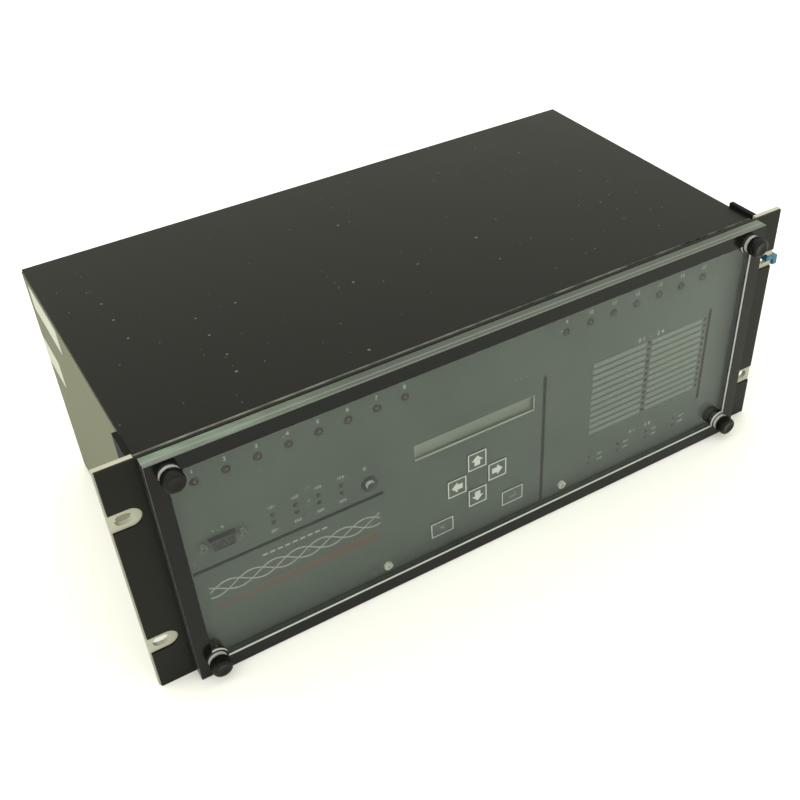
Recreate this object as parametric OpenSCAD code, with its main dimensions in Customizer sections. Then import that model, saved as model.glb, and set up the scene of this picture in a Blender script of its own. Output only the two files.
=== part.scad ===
// Rack-mounted protection relay with a clear dust cover over its front panel.
// Millimetres. +X is right as seen from the front, +Y is to the rear, +Z is up.
// The origin is the centre of the chassis underside.

/* [Front panel] */
// Height of the front panel and the rack ears, four rack units less a gap
panel_h = 176.8; // [160:0.2:195]
// Step from an ear's outer edge in to the panel's edge
panel_step = 1; // [0.5:0.1:2]
// Thickness of the front panel sheet
panel_t = 1.5; // [1:0.1:2.5]

/* [Rack ears] */
// Width across both ears, the rack standard
ear_span = 482.6; // [440:0.2:530]
// Distance from the chassis side out to an ear's outer edge
ear_w = 22.25; // [20:0.05:26]
// Thickness of the ear angle
ear_t = 3.2; // [2:0.1:4]
// Depth of the ear leg that runs back along the side
ear_leg = 25.5; // [22:0.5:40]
// Distance from an ear's outer edge in to its slots
slot_inset = 8.75; // [8:0.05:10]
// Distance between the upper and lower slots
slot_span_z = 101.6; // [76:0.1:120]
// Height of a rack slot
slot_h = 7.1; // [6:0.1:8]
// Length of a rack slot from end to end
slot_l = 10.2; // [9:0.1:12]
// Height of the panel notch in front of each slot
notch_h = 13.5; // [11:0.1:16]
// Distance from a slot's centre to the round end of its notch
notch_reach = 10.3; // [9:0.1:11.5]

/* [Chassis] */
// Depth from the back of the front panel to the rear panel's outer face
chassis_d = 228; // [210:1:300]
// Step from the panel's top edge down to the lid
lid_step = 2.4; // [1:0.1:5]
// Thickness of the chassis sheet
sheet_t = 1.5; // [1:0.1:2]
// Step from a side's outer face in to the edge of the lid
lid_inset = 0.65; // [0.3:0.05:1.2]
// Step from the back of the front panel to the lid's front edge
lid_setback = 4.2; // [2:0.1:6]
// Height of the turned lips of the lid and the base
lip_h = 10; // [8:0.5:14]

/* [Dust cover] */
// Step from the chassis side in to the dust cover's edge
cover_step = 1.55; // [0.5:0.05:5]
// Step from the panel's top and bottom edges in to the dust cover
cover_edge = 0.4; // [0.2:0.1:3]
// Depth of the dust cover from its front to the panel
cover_d = 9.5; // [8.5:0.1:14]
// Width of the black border around the window
border_w = 10; // [8:0.2:11]
// Thickness of the black border
border_t = 1.5; // [1:0.1:2]
// Thickness of the clear face
face_t = 2.5; // [1.5:0.1:3]
// Width of the clear rim that stands on the panel
rim_w = 5; // [4:0.1:7]

/* [Thumb screws] */
// Diameter of a thumb screw head
knob_d = 13; // [11:0.1:15]
// Length of a thumb screw head
knob_l = 7.8; // [5.5:0.1:12]
// Distance from the cover's sides and lower edge to a thumb screw's axis
knob_inset = 12.2; // [10.5:0.1:14]
// Distance from the cover's top edge to an upper thumb screw's axis
knob_drop = 9.8; // [9.2:0.1:14]
// Diameter of the bright collar under a head
collar_d = 12.2; // [10:0.1:13]
// Length of the collar in front of the cover
collar_l = 1.8; // [1.2:0.1:5]
// Diameter of a thumb screw's shank
stud_d = 4.2; // [3.5:0.1:4.8]

/* [Row indicators] */
// Diameter of a round indicator
led_d = 3; // [2.6:0.1:4]
// Height of an indicator's dome above the panel
led_rise = 1.2; // [0.6:0.1:1.5]
// Distance between neighbours in the two upper rows
led_pitch = 19.05; // [17:0.05:19.5]
// Distance from the panel's top edge down to the two upper rows
row_drop = 30.3; // [26:0.1:34]
// Distance from the left side to the first indicator of the left row
left_row_in = 27.45; // [25:0.05:34]
// Number of indicators in the left row
left_row_n = 8; // [6:1:8]
// Distance from the right side to the last indicator of the right row
right_row_in = 44.35; // [30:0.05:48]
// Number of indicators in the right row
right_row_n = 7; // [5:1:7]

/* [Status indicators] */
// Distance from the left side to the first status column
status_in = 67.55; // [65:0.05:70]
// Distance between status columns
status_pitch = 15.2; // [13:0.1:15.6]
// Number of status columns
status_n = 4; // [2:1:4]
// Height of the middle of the status block
status_z = 96.2; // [94:0.1:100]
// Distance between the two status rows
status_gap = 6; // [5:0.1:8]

/* [Display and keys] */
// Place of the display and key group
hmi_x = -8.5; // [-12:0.1:-5]
// Width of the display window
lcd_w = 91.2; // [80:0.1:94]
// Height of the display window
lcd_h = 12.4; // [10:0.1:14]
// Distance from the key cross up to the middle of the display window
lcd_rise = 43.2; // [38:0.1:50]
// Width and height of an arrow key
key_size = 14.3; // [12:0.1:14.4]
// Distance between the edges of neighbouring arrow keys
key_gap = 1.6; // [1.4:0.1:3]
// Height of the middle of the key cross
cross_z = 56; // [54:0.1:58]
// Width of the two long keys
long_key_w = 17.2; // [15:0.1:19]
// Height of the two long keys
long_key_h = 12.4; // [10:0.1:13]
// Distance from the middle of the key group to a long key
long_key_dx = 28.4; // [26:0.1:31]
// Distance from the key cross down to the long keys
long_key_drop = 30.2; // [28:0.1:34]
// Height of a key face above the panel
key_rise = 0.8; // [0.5:0.1:1.5]
// Travel of a key
key_travel = 0.8; // [0.4:0.1:1]

/* [Front port and reset] */
// Distance from the left side to the front port
com_in = 35.45; // [33:0.05:38]
// Height of the front port
com_z = 97.5; // [94:0.1:104]
// Distance between the front port's jack posts
jack_span = 25; // [24.6:0.1:27]
// Distance from the left side to the reset button
reset_in = 131.85; // [131:0.05:138]
// Height of the reset button
reset_z = 91.5; // [88:0.1:98]
// Diameter of the reset button
reset_d = 6; // [5:0.1:7]
// Height of the reset button above the panel
reset_rise = 3.4; // [2.6:0.1:4]
// Travel of the reset button
reset_travel = 2; // [1:0.1:2.4]

/* [Targets] */
// Distance from the right side to the left edge of the first target label column
target_in = 134.05; // [130:0.05:138]
// Height of the top edge of the target labels
target_top = 110.5; // [106:0.1:114]
// Width of a target label
label_w = 45.5; // [40:0.1:46]
// Height of a target label
label_h = 3.5; // [2.5:0.1:4.2]
// Distance between target labels
label_pitch = 5.3; // [4.8:0.05:5.5]
// Number of target labels in a column
label_n = 12; // [8:1:12]
// Gap between the two label columns, where the first column's indicators sit
column_gap = 5; // [4.8:0.1:7]
// Height of the output indicators
output_z = 24; // [20:0.1:27]
// Distance between output indicators
output_pitch = 26.2; // [22:0.1:27]

/* [Rear terminals] */
// Distance between neighbouring terminals
way_pitch = 9.5; // [8.5:0.1:9.8]
// Room left beside the terminal blocks at each side
terminal_room = 20; // [18:0.5:40]
// Height of a terminal block
block_h = 22; // [18:0.5:26]
// Depth of a terminal block from the rear panel to its barriers
block_d = 20.8; // [20.2:0.1:21]
// Height of the lower terminal row
lower_row_z = 42; // [36:0.5:48]
// Distance from the lid down to the upper terminal row
upper_row_drop = 36.4; // [32:0.1:46]

/* [Inside] */
// Thickness of a circuit board
board_t = 1.6; // [1:0.1:2]
// Distance from the back of the panel to the front boards
board_gap = 9; // [8:0.1:14]
// Height of the lower boards above the base
floor_gap = 10; // [6:0.5:12]
// Distance from the rear panel to the relay board
rear_gap = 12; // [10:0.5:18]
// Width of an input transformer
coil_w = 28; // [24:0.5:30]
// Depth of an input transformer
coil_d = 30; // [24:0.5:34]
// Height of an input transformer
coil_h = 34; // [28:0.5:36]
// Distance between input transformers
coil_pitch = 34; // [31:0.5:36]
// Number of input transformers
coil_n = 11; // [6:1:11]
// Number of output relays
relay_n = 12; // [6:1:12]
// Distance between output relays
relay_pitch = 26; // [22:0.5:28]

/* [Hidden] */
$fn = 48;

// Working clearances
slide_gap = 0.3;
seat_gap = 0.2;
run_gap = 0.1;
fit_gap = 0.05;
cut_over = 1;
margin = 4;

// Planes along the depth
panel_back = -chassis_d / 2;
panel_front = panel_back - panel_t;
ear_back = panel_back + ear_t;
lid_front = panel_back + lid_setback;
rear_face = chassis_d / 2;
rear_inside = rear_face - sheet_t;
lip_back = rear_face + sheet_t;
board_front = panel_back + board_gap;
board_back = board_front + board_t;

// Width and height of the chassis, the panel and the dust cover
chassis_w = ear_span - 2 * ear_w;
chassis_h = panel_h - lid_step;
panel_w = ear_span - 2 * panel_step;
slot_span_x = ear_span - 2 * slot_inset;
cover_w = chassis_w - 2 * cover_step;
cover_h = panel_h - 2 * cover_edge;

// Sides of the chassis
side_x = chassis_w / 2;
side_inner = side_x - sheet_t;
side_top = chassis_h - sheet_t;
lid_half = side_x - lid_inset;
rear_flange_w = 12;
bend_share = 0.8;

// Dust cover planes and thumb screw places
cover_z = cover_edge;
cover_front = panel_front - cover_d;
cover_back = panel_front - seat_gap;
window_front = cover_front + border_t;
pocket_front = window_front + face_t;
knob_x = cover_w / 2 - knob_inset;
knob_low = cover_z + knob_inset;
knob_high = cover_z + cover_h - knob_drop;
knob_places = [[-knob_x, knob_high], [knob_x, knob_high], [-knob_x, knob_low], [knob_x, knob_low]];
stud_r = stud_d / 2;
collar_front = cover_front - collar_l;
knob_back = collar_front - slide_gap;
knob_edge = 0.8;
knob_cap = 2;
knob_socket = knob_l - knob_cap;
tail_wall = 1.1;
tail_r = stud_r + tail_wall;
pad_edge = 1.4;
corner_pad_r = collar_d / 2 + pad_edge;
boss_lap = 0.5;
boss_wall = 2;
boss_r = max(knob_inset - rim_w + boss_lap, tail_r + boss_wall);

// Threaded bushes behind the panel for the thumb screws
bush_wall = 1.9;
bush_r = stud_r + bush_wall;
bush_flange_w = 1;
bush_flange_r = bush_r + bush_flange_w;
bush_flange_t = 1.5;
bush_l = 7;
bush_spare = 2;
bush_clear = 1;
stud_end = panel_back + bush_l - bush_spare;
front_flange_w = side_x - knob_x - bush_flange_r - bush_clear;
lip_half = knob_x - bush_flange_r - bush_clear;

// Rack ears
slot_low_z = (panel_h - slot_span_z) / 2;
slot_zs = [slot_low_z, slot_low_z + slot_span_z];
ear_screw_set = 17;
ear_screw_y = panel_back + ear_screw_set;
ear_screw_end = 18;
ear_screw_tip = 3;
ear_screw_zs = [ear_screw_end, panel_h / 2, chassis_h - ear_screw_end];
ear_head_r = 4;
ear_head_t = 2;
m4_r = 2;

// Nylon tie through the outer end of the upper right slot
tie_w = 3.6;
tie_t = 0.8;
tie_set = 0.3;
tie_drop = 0.4;
tie_in = (slot_span_x + slot_h) / 2 - tie_set;
tie_out = ear_span / 2 + slide_gap;
tie_head = [3.6, 5.6, 7];
tie_head_drop = 2.8;

// Indicator places
led_r = led_d / 2;
led_rim = 0.4;
led_rim_t = 1;
hole_gap = 0.15;
small_led_r = 1;
row_z = panel_h - row_drop;
left_row_x = left_row_in - side_x;
right_row_x = side_x - right_row_in - (right_row_n - 1) * led_pitch;
status_x = status_in - side_x;
target_x = side_x - target_in;
column_pitch = label_w + column_gap;
left_row = [for (i = [0 : left_row_n - 1]) [left_row_x + i * led_pitch, row_z]];
right_row = [for (i = [0 : right_row_n - 1]) [right_row_x + i * led_pitch, row_z]];
status_places = [for (i = [0 : status_n - 1]) for (s = [-1, 1])
    [status_x + i * status_pitch, status_z + s * status_gap / 2]];
target_led_gap = 2.4;
target_led_dx = label_w + target_led_gap;
target_led_places = [for (c = [0, 1]) for (i = [0 : label_n - 1])
    [target_x + c * column_pitch + target_led_dx, target_top - label_h / 2 - i * label_pitch]];
output_n = 4;
output_in = 2;
output_half = 3;
output_places = [for (i = [0 : output_n - 1]) for (s = [-1, 1])
    [target_x + output_in + i * output_pitch, output_z + s * output_half]];

// Display and keys
lens_t = 1.5;
lens_margin = 2.5;
lcd_module_margin = 3;
hmi_edge = 1;
lcd_z = cross_z + lcd_rise;
long_key_z = cross_z - long_key_drop;
key_pitch = key_size + key_gap;
lcd_module_edge = 6;
lcd_module_h = lcd_h + 2 * lcd_module_edge;
key_flange = 0.6;
key_flange_t = 1;
key_foot = panel_back + slide_gap;
key_stem_r = 2.5;
switch_l = 4;
switch_w = 6;
key_stem_end = board_front - switch_l - key_travel - run_gap;
arrow_size = [key_size, key_size];
long_size = [long_key_w, long_key_h];
up_at = [hmi_x, cross_z + key_pitch];
down_at = [hmi_x, cross_z - key_pitch];
left_at = [hmi_x - key_pitch, cross_z];
right_at = [hmi_x + key_pitch, cross_z];
enter_at = [hmi_x + long_key_dx, long_key_z];
exit_at = [hmi_x - long_key_dx, long_key_z];
keys = [[up_at, arrow_size], [down_at, arrow_size], [left_at, arrow_size], [right_at, arrow_size],
    [enter_at, long_size], [exit_at, long_size]];
hmi_screw_dx = 71.2;
hmi_screw_z = 13.4;
tab_w = 14;
tab_over_screw = 6;
tab_h = hmi_screw_z + tab_over_screw;
hmi_half = lcd_w / 2 + lcd_module_margin + hmi_edge;
hmi_low = long_key_z - long_key_h / 2 - margin;
hmi_high = lcd_z + lcd_module_h / 2 + margin;

// Front port
com_x = com_in - side_x;
d_w = 17;
d_h = 8.4;
d_slope = 0.18;
d_wall = 0.5;
d_rise = 3.6;
d_flange_end = 3;
d_flange = [jack_span + 2 * d_flange_end, 12.5];
d_flange_t = 0.8;
d_body_l = 9;
d_body_edge = 1;
d_insert_step = 0.5;
pin_pitch = 2.77;
pin_row = 1.42;
pin_r = 0.6;
pin_depth = 4;
jack_r = 1.5;
jack_head_r = 2.7;
jack_head_l = 3.2;
jack_wall = 0.4;
jack_tail = 5;

// Reset button
reset_x = reset_in - side_x;
reset_r = reset_d / 2;
reset_ring_w = 2.4;
reset_ring_r = reset_r + reset_ring_w;
reset_ring_t = 1.2;
reset_neck_wall = 1.2;
reset_neck_r = reset_r + reset_neck_wall;
reset_neck_l = 6;
reset_neck_end = panel_back + reset_neck_l;
reset_body_edge = 0.5;
reset_body_w = 2 * (reset_neck_r + reset_body_edge);
reset_body_l = 12;
reset_tail = 2;
reset_end = reset_neck_end + reset_tail;
reset_spare = 1;
reset_bore_end = reset_end + reset_travel + reset_spare;

// Boards behind the indicators
board_edge = 9;
board_end = 10;
post_r = 2.5;
post_in = 4;
status_board_end = 8;
status_board_edge = 6;
status_board_half = status_gap / 2 + status_board_edge;
post_clear = 1;
low_post_z = max(lip_h, hmi_low) + post_r + post_clear;
status_last_x = status_x + (status_n - 1) * status_pitch;
label_t = 0.3;
target_board_side = 2;
target_board_end = 4;
target_board_x = target_x - target_board_side;
target_board_right = target_x + column_pitch + target_led_dx + target_board_end;
target_board_low = output_z - board_edge;
target_board_high = target_top + board_edge;

// Rear of the chassis
wall_w = 1.6;
block_gap = 10;
way_n = floor((side_x - terminal_room - block_gap / 2 - wall_w) / way_pitch);
block_l = way_n * way_pitch + wall_w;
upper_row_z = chassis_h - upper_row_drop;
block_x = (block_l + block_gap) / 2;
base_d = 17;
row_zs = [lower_row_z, upper_row_z];
tail_h = 6;
tail_inset = 8;
terminal_r = 3.2;
terminal_t = 3;
terminal_slot = 0.9;
port_z = (lower_row_z + upper_row_z) / 2;
port_ins = [69.05, 119.05];
port_xs = [for (p = port_ins) p - side_x];
coax_in = 164.05;
coax_x = coax_in - side_x;
coax_r = 4.8;
coax_l = 13;
coax_wall = 0.8;
coax_core_r = 2.6;
coax_flange_r = 7.5;
coax_flange_t = 2;
coax_tail = 6;
coax_lug_r = 1;
coax_lug_l = 1;
rear_d_rise = 6;
ground_in = 69.05;
ground_x = side_x - ground_in;
ground_r = 2.4;
ground_hex_r = 5.2;
ground_hex_l = 4;
ground_l = 12;
ground_tail = 3;
case_screw_r = 1.5;
case_head_r = 3;
case_head_t = 2;
case_screw_l = 5;
screw_tip = 2;
case_screw_n = 5;
case_screw_end = 20;
case_screw_pitch = (chassis_w - 2 * case_screw_end) / (case_screw_n - 1);
lip_screw_z = lip_h / 2;
edge_screw_x = side_x - rear_flange_w / 2;
edge_screw_zs = [56, 90, 122];

// Inside boards
relay_back = rear_inside - rear_gap;
relay_front = relay_back - board_t;
relay_end = 12;
relay_half = side_inner - relay_end;
relay_low = 16;
relay_top = 14;
relay_high = chassis_h - relay_top;
coil_rise = 13;
coil_z = lower_row_z + coil_rise;
relay_box = [13, 16, 28];
relay_drop = 14;
relay_z = upper_row_z - relay_drop;
floor_board_z = sheet_t + floor_gap;
floor_top = floor_board_z + board_t;
floor_clear = 24;
floor_front = board_back + floor_clear;
floor_back_gap = 6;
floor_rear = relay_front - coil_d - floor_back_gap;
split_x = 48;
split_half = 6;
floor_side = 10;
floor_left = [-side_inner + floor_side, split_x - split_half];
floor_right = [split_x + split_half, side_inner - floor_side];
header_w = 40;
header_l = 7;
header_h = 6;
header_rise = 8;
header_z = hmi_low + header_rise;
ribbon_t = 0.8;
ribbon_in = 3;
ribbon_w = header_w - 2 * ribbon_in;
ribbon_y = floor_front + margin + header_l / 2;
ribbon_z = header_z + header_h / 2;

// Chips on the processor board, each a place from the board's middle and a size
chips = [[[0, 0], [34, 34, 4]], [[-60, 8], [26, 16, 3]], [[-60, -18], [26, 16, 3]], [[50, 12], [20, 12, 3]]];
cell_at = [52, -16];
cell_r = 10;
cell_h = 6;

// Power supply parts, placed from the middle of the board's front edge
power_box_at = [-25, 30];
power_box = [50, 44, 38];
can_at = [18, 16];
can_r = 8;
can_h = 28;
can_n = 3;
can_pitch = 18;
sink_at = [10, 40];
sink = [48, 20, 5];
fin_n = 9;
fin_t = 1.6;
fin_h = 24;

// A flat outline in X and Z, t thick, whose rear face is at y
module plate(y, t) { translate([0, y, 0]) rotate([90, 0, 0]) linear_extrude(t) children(); }

// A profile in Y and Z, w wide and centred on X
module across(w) { rotate([90, 0, 90]) linear_extrude(w, center = true) children(); }

// A round bar along Y from y0 to y1
module rod(at, y0, y1, r) {
    translate([at[0], y1, at[1]]) rotate([90, 0, 0]) cylinder(h = y1 - y0, r = r);
}

// A box given by its lowest and highest corners
module block(low, high) { translate(low) cube(high - low); }

// A rectangle centred on a place in X and Z
module pane(at, size) { translate(at) square(size, center = true); }

module at_each(places) { for (p = places) translate(p) children(); }

// The front port's outline, narrower at its foot
module d_outline(w, h) {
    foot = w / 2 - h * d_slope;
    polygon([[-w / 2, h / 2], [w / 2, h / 2], [foot, -h / 2], [-foot, -h / 2]]);
}

// Chassis
module side_sheet() {
    translate([0, 0, sheet_t]) linear_extrude(side_top - sheet_t) {
        translate([side_inner, panel_back]) square([sheet_t, rear_inside - panel_back]);
        translate([side_x - front_flange_w, panel_back]) square([front_flange_w, sheet_t]);
        translate([side_x - rear_flange_w, rear_inside - sheet_t]) square([rear_flange_w, sheet_t]);
    }
}

module ear_holes() {
    for (z = ear_screw_zs) translate([0, ear_screw_y, z]) rotate([0, 90, 0])
        cylinder(h = ear_span, r = m4_r + run_gap);
}

module right_side() {
    color([0.05, 0.05, 0.05]) difference() {
        side_sheet();
        ear_holes();
        for (z = edge_screw_zs)
            rod([edge_screw_x, z], rear_inside - sheet_t - cut_over, rear_face, case_screw_r + run_gap);
    }
}

module left_side() { mirror([1, 0, 0]) right_side(); }

module lip_screw_holes(z) {
    for (i = [0 : case_screw_n - 1])
        rod([(i - (case_screw_n - 1) / 2) * case_screw_pitch, z], rear_inside - cut_over, lip_back + cut_over,
            case_screw_r + run_gap);
}

module top_cover() {
    length = lip_back - lid_front;
    bend = sheet_t * bend_share;
    color([0.05, 0.05, 0.05]) difference() {
        union() {
            across(2 * lid_half) translate([lid_front, side_top]) intersection() {
                square([length, sheet_t]);
                union() {
                    square([length, sheet_t - bend]);
                    translate([bend, 0]) square([length - 2 * bend, sheet_t]);
                    for (y = [bend, length - bend]) translate([y, sheet_t - bend]) circle(bend);
                }
            }
            across(2 * lip_half) translate([lid_front, chassis_h - lip_h]) square([sheet_t, lip_h - sheet_t]);
            across(2 * lid_half) translate([rear_face, chassis_h - lip_h]) square([sheet_t, lip_h - sheet_t]);
        }
        lip_screw_holes(chassis_h - lip_screw_z);
    }
}

module bottom_cover() {
    color([0.05, 0.05, 0.05]) difference() {
        union() {
            block([-lid_half, panel_back, 0], [lid_half, lip_back, sheet_t]);
            block([-lip_half, panel_back, sheet_t], [lip_half, panel_back + sheet_t, lip_h]);
            for (s = [-1, 1]) plate(panel_back + sheet_t, sheet_t)
                translate([hmi_x + s * hmi_screw_dx - tab_w / 2, sheet_t]) square([tab_w, tab_h - sheet_t]);
            block([-lid_half, rear_face, sheet_t], [lid_half, lip_back, lip_h]);
        }
        lip_screw_holes(lip_screw_z);
        for (s = [-1, 1])
            rod([hmi_x + s * hmi_screw_dx, hmi_screw_z], panel_back - cut_over, panel_back + 2 * sheet_t,
                case_screw_r + run_gap);
    }
}

module rear_panel() {
    color([0.06, 0.06, 0.06]) difference() {
        block([-side_x, rear_inside, sheet_t], [side_x, rear_face, side_top]);
        lip_screw_holes(lip_screw_z);
        lip_screw_holes(chassis_h - lip_screw_z);
        for (s = [-1, 1]) for (z = edge_screw_zs)
            rod([s * edge_screw_x, z], rear_inside - cut_over, rear_face + cut_over, case_screw_r + run_gap);
        for (s = [-1, 1]) for (z = row_zs) plate(rear_face + cut_over, sheet_t + 2 * cut_over)
            pane([s * block_x, z], [block_l - 2 * tail_inset + 2 * slide_gap, tail_h + 2 * slide_gap]);
        plate(rear_face + cut_over, sheet_t + 2 * cut_over) for (x = port_xs)
            translate([x, port_z]) d_outline(d_w + 2 * slide_gap, d_h + 2 * slide_gap);
        rod([coax_x, port_z], rear_inside - cut_over, rear_face + cut_over, coax_r + fit_gap);
        rod([ground_x, port_z], rear_inside - cut_over, rear_face + cut_over, ground_r + fit_gap);
    }
}

module case_screw(at, y) {
    rod(at, y, y + case_head_t, case_head_r);
    rod(at, y - case_screw_l, y, case_screw_r);
}

module case_screws() {
    color([0.12, 0.12, 0.12]) {
        for (z = [lip_screw_z, chassis_h - lip_screw_z]) for (i = [0 : case_screw_n - 1])
            case_screw([(i - (case_screw_n - 1) / 2) * case_screw_pitch, z], lip_back);
        for (s = [-1, 1]) for (z = edge_screw_zs) case_screw([s * edge_screw_x, z], rear_face);
    }
}

// Rack ears
module slot_outline() {
    square([slot_l - slot_h, slot_h], center = true);
    for (s = [-1, 1]) translate([s * (slot_l - slot_h) / 2, 0]) circle(d = slot_h);
}

module rack_ear_right() {
    color([0.75, 0.74, 0.66]) difference() {
        union() {
            block([side_x, panel_back, 0], [ear_span / 2, ear_back, panel_h]);
            block([side_x, ear_back, 0], [side_x + ear_t, panel_back + ear_leg, panel_h]);
        }
        plate(ear_back + cut_over, ear_t + 2 * cut_over)
            for (z = slot_zs) translate([slot_span_x / 2, z]) slot_outline();
        ear_holes();
    }
}

module rack_ear_left() { mirror([1, 0, 0]) rack_ear_right(); }

module ear_screws() {
    shank = ear_t + sheet_t + ear_screw_tip;
    color([0.1, 0.1, 0.1]) for (s = [0, 1]) mirror([s, 0, 0]) for (z = ear_screw_zs)
        translate([side_x + ear_t, ear_screw_y, z]) rotate([0, 90, 0]) {
            cylinder(h = ear_head_t, r = ear_head_r);
            translate([0, 0, -shank]) cylinder(h = shank, r = m4_r);
        }
}

module tag_tie() {
    z = slot_zs[1] - tie_drop;
    head_z = z - tie_head_drop - tie_head[2] / 2;
    inner = [tie_in + tie_t, panel_back - slide_gap];
    outer = [tie_out, ear_back + slide_gap];
    color([0.1, 0.4, 0.5]) {
        translate([0, 0, z - tie_w / 2]) linear_extrude(tie_w) difference() {
            translate(inner - [tie_t, tie_t]) square(outer - inner + [2 * tie_t, 2 * tie_t]);
            translate(inner) square(outer - inner);
        }
        translate([tie_out + tie_t, (panel_back + ear_back - tie_head[1]) / 2, head_z]) cube(tie_head);
    }
}

// Front panel
module notch_outline() {
    run = notch_reach - notch_h / 2;
    translate([-run, 0]) circle(d = notch_h);
    translate([-run, -notch_h / 2]) square([ear_span / 2, notch_h]);
}

module panel_cuts() {
    for (s = [0, 1]) mirror([s, 0, 0]) for (z = slot_zs) translate([slot_span_x / 2, z]) notch_outline();
    at_each(concat(left_row, right_row, status_places)) circle(led_r + hole_gap);
    at_each(concat(target_led_places, output_places)) circle(small_led_r + hole_gap);
    at_each(knob_places) circle(bush_r + fit_gap);
    for (k = keys) pane(k[0], k[1] + [2 * slide_gap, 2 * slide_gap]);
    pane([hmi_x, lcd_z], [lcd_w, lcd_h]);
    for (s = [-1, 1]) translate([hmi_x + s * hmi_screw_dx, hmi_screw_z]) circle(case_screw_r + run_gap);
    translate([com_x, com_z]) {
        d_outline(d_w + 2 * slide_gap, d_h + 2 * slide_gap);
        for (s = [-1, 1]) translate([s * jack_span / 2, 0]) circle(jack_r + run_gap);
    }
    translate([reset_x, reset_z]) circle(reset_neck_r + run_gap);
}

module front_panel() {
    color([0.05, 0.05, 0.05]) plate(panel_back, panel_t) difference() {
        translate([-panel_w / 2, 0]) square([panel_w, panel_h]);
        panel_cuts();
    }
}

module panel_screws() {
    color("silver") for (s = [-1, 1]) {
        at = [hmi_x + s * hmi_screw_dx, hmi_screw_z];
        difference() {
            rod(at, panel_front - case_head_t, panel_front, case_head_r);
            for (a = [0, 90]) translate([at[0], panel_front - case_head_t, at[1]]) rotate([0, a, 0])
                cube([case_head_r, case_head_t, terminal_slot], center = true);
        }
        rod(at, panel_front, panel_back + sheet_t + screw_tip, case_screw_r);
    }
}

// Indicators
module led(at, r) {
    dome = panel_front - led_rise + r;
    rod(at, dome, board_front, r);
    rod(at, board_front - led_rim_t, board_front, r + led_rim);
    translate([at[0], dome, at[1]]) sphere(r);
}

module row_leds() { color([0.35, 0.08, 0.05]) for (p = concat(left_row, right_row)) led(p, led_r); }

module status_leds() { color([0.2, 0.25, 0.1]) for (p = status_places) led(p, led_r); }

module target_leds() {
    color([0.3, 0.05, 0.05]) for (p = concat(target_led_places, output_places))
        led(p, small_led_r);
}

module target_labels() {
    color([0.75, 0.78, 0.7]) plate(panel_front, label_t) for (c = [0, 1]) for (i = [0 : label_n - 1])
        translate([target_x + c * column_pitch, target_top - label_h - i * label_pitch])
            square([label_w, label_h]);
}

// Front boards
module row_board(row) {
    last = row[len(row) - 1];
    block([row[0][0] - board_end, board_front, row_z - board_edge],
        [last[0] + board_end, board_back, row_z + board_edge]);
}

module led_boards() {
    color("darkgreen") {
        row_board(left_row);
        row_board(right_row);
    }
}

module status_board() {
    color("darkgreen") block([status_x - status_board_end, board_front, status_z - status_board_half],
        [status_last_x + status_board_end, board_back, status_z + status_board_half]);
}

module target_board() {
    color("darkgreen") block([target_board_x, board_front, target_board_low],
        [target_board_right, board_back, target_board_high]);
}

module hmi_board() {
    color("darkgreen") {
        block([hmi_x - hmi_half, board_front, hmi_low], [hmi_x + hmi_half, board_back, hmi_high]);
        block([hmi_x - header_w / 2, board_back, header_z],
            [hmi_x + header_w / 2, board_back + header_l, header_z + header_h]);
    }
}

module lcd_lens() {
    color([0.6, 0.65, 0.55, 0.5]) plate(panel_back + lens_t, lens_t)
        pane([hmi_x, lcd_z], [lcd_w + 2 * lens_margin, lcd_h + 2 * lens_margin]);
}

module lcd_module() {
    color([0.5, 0.55, 0.42]) plate(board_front, board_gap - lens_t)
        pane([hmi_x, lcd_z], [lcd_w + 2 * lcd_module_margin, lcd_module_h]);
}

module key_switches() {
    color([0.15, 0.15, 0.15]) for (k = keys) plate(board_front, switch_l) pane(k[0], [switch_w, switch_w]);
}

// Keys
module key(at, size) {
    color([0.08, 0.08, 0.08]) {
        plate(key_foot, slide_gap + panel_t + key_rise) pane(at, size);
        plate(key_foot + key_flange_t, key_flange_t) pane(at, size + 2 * [key_flange, key_flange]);
        rod(at, key_foot + key_flange_t, key_stem_end, key_stem_r);
    }
}

module key_up() { key(up_at, arrow_size); }
module key_down() { key(down_at, arrow_size); }
module key_left() { key(left_at, arrow_size); }
module key_right() { key(right_at, arrow_size); }
module key_enter() { key(enter_at, long_size); }
module key_exit() { key(exit_at, long_size); }

// Front port
module d_shell(back, front) {
    plate(back, back - front) difference() {
        d_outline(d_w, d_h);
        d_outline(d_w - 2 * d_wall, d_h - 2 * d_wall);
    }
}

module com_shell() {
    color("silver") translate([com_x, 0, com_z]) {
        plate(panel_back + d_flange_t, d_flange_t) difference() {
            square(d_flange, center = true);
            d_outline(d_w - 2 * d_wall, d_h - 2 * d_wall);
            for (s = [-1, 1]) translate([s * jack_span / 2, 0]) circle(jack_r + run_gap);
        }
        d_shell(panel_back, panel_front - d_rise);
    }
}

// Five contact holes over four, along Y
module contact_holes(y0, y1) {
    for (i = [-2 : 2]) rod([i * pin_pitch, pin_row], y0, y1, pin_r);
    for (i = [-1.5 : 1.5]) rod([i * pin_pitch, -pin_row], y0, y1, pin_r);
}

module com_insert() {
    front = panel_front - d_rise + d_insert_step;
    flange_back = panel_back + d_flange_t;
    color([0.06, 0.06, 0.06]) translate([com_x, 0, com_z]) difference() {
        union() {
            plate(flange_back, flange_back - front)
                d_outline(d_w - 2 * d_wall - 2 * fit_gap, d_h - 2 * d_wall - 2 * fit_gap);
            plate(flange_back + d_body_l, d_body_l)
                square([d_w + 2 * d_body_edge, d_h + 2 * d_body_edge], center = true);
        }
        contact_holes(front - cut_over, front + pin_depth);
    }
}

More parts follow.
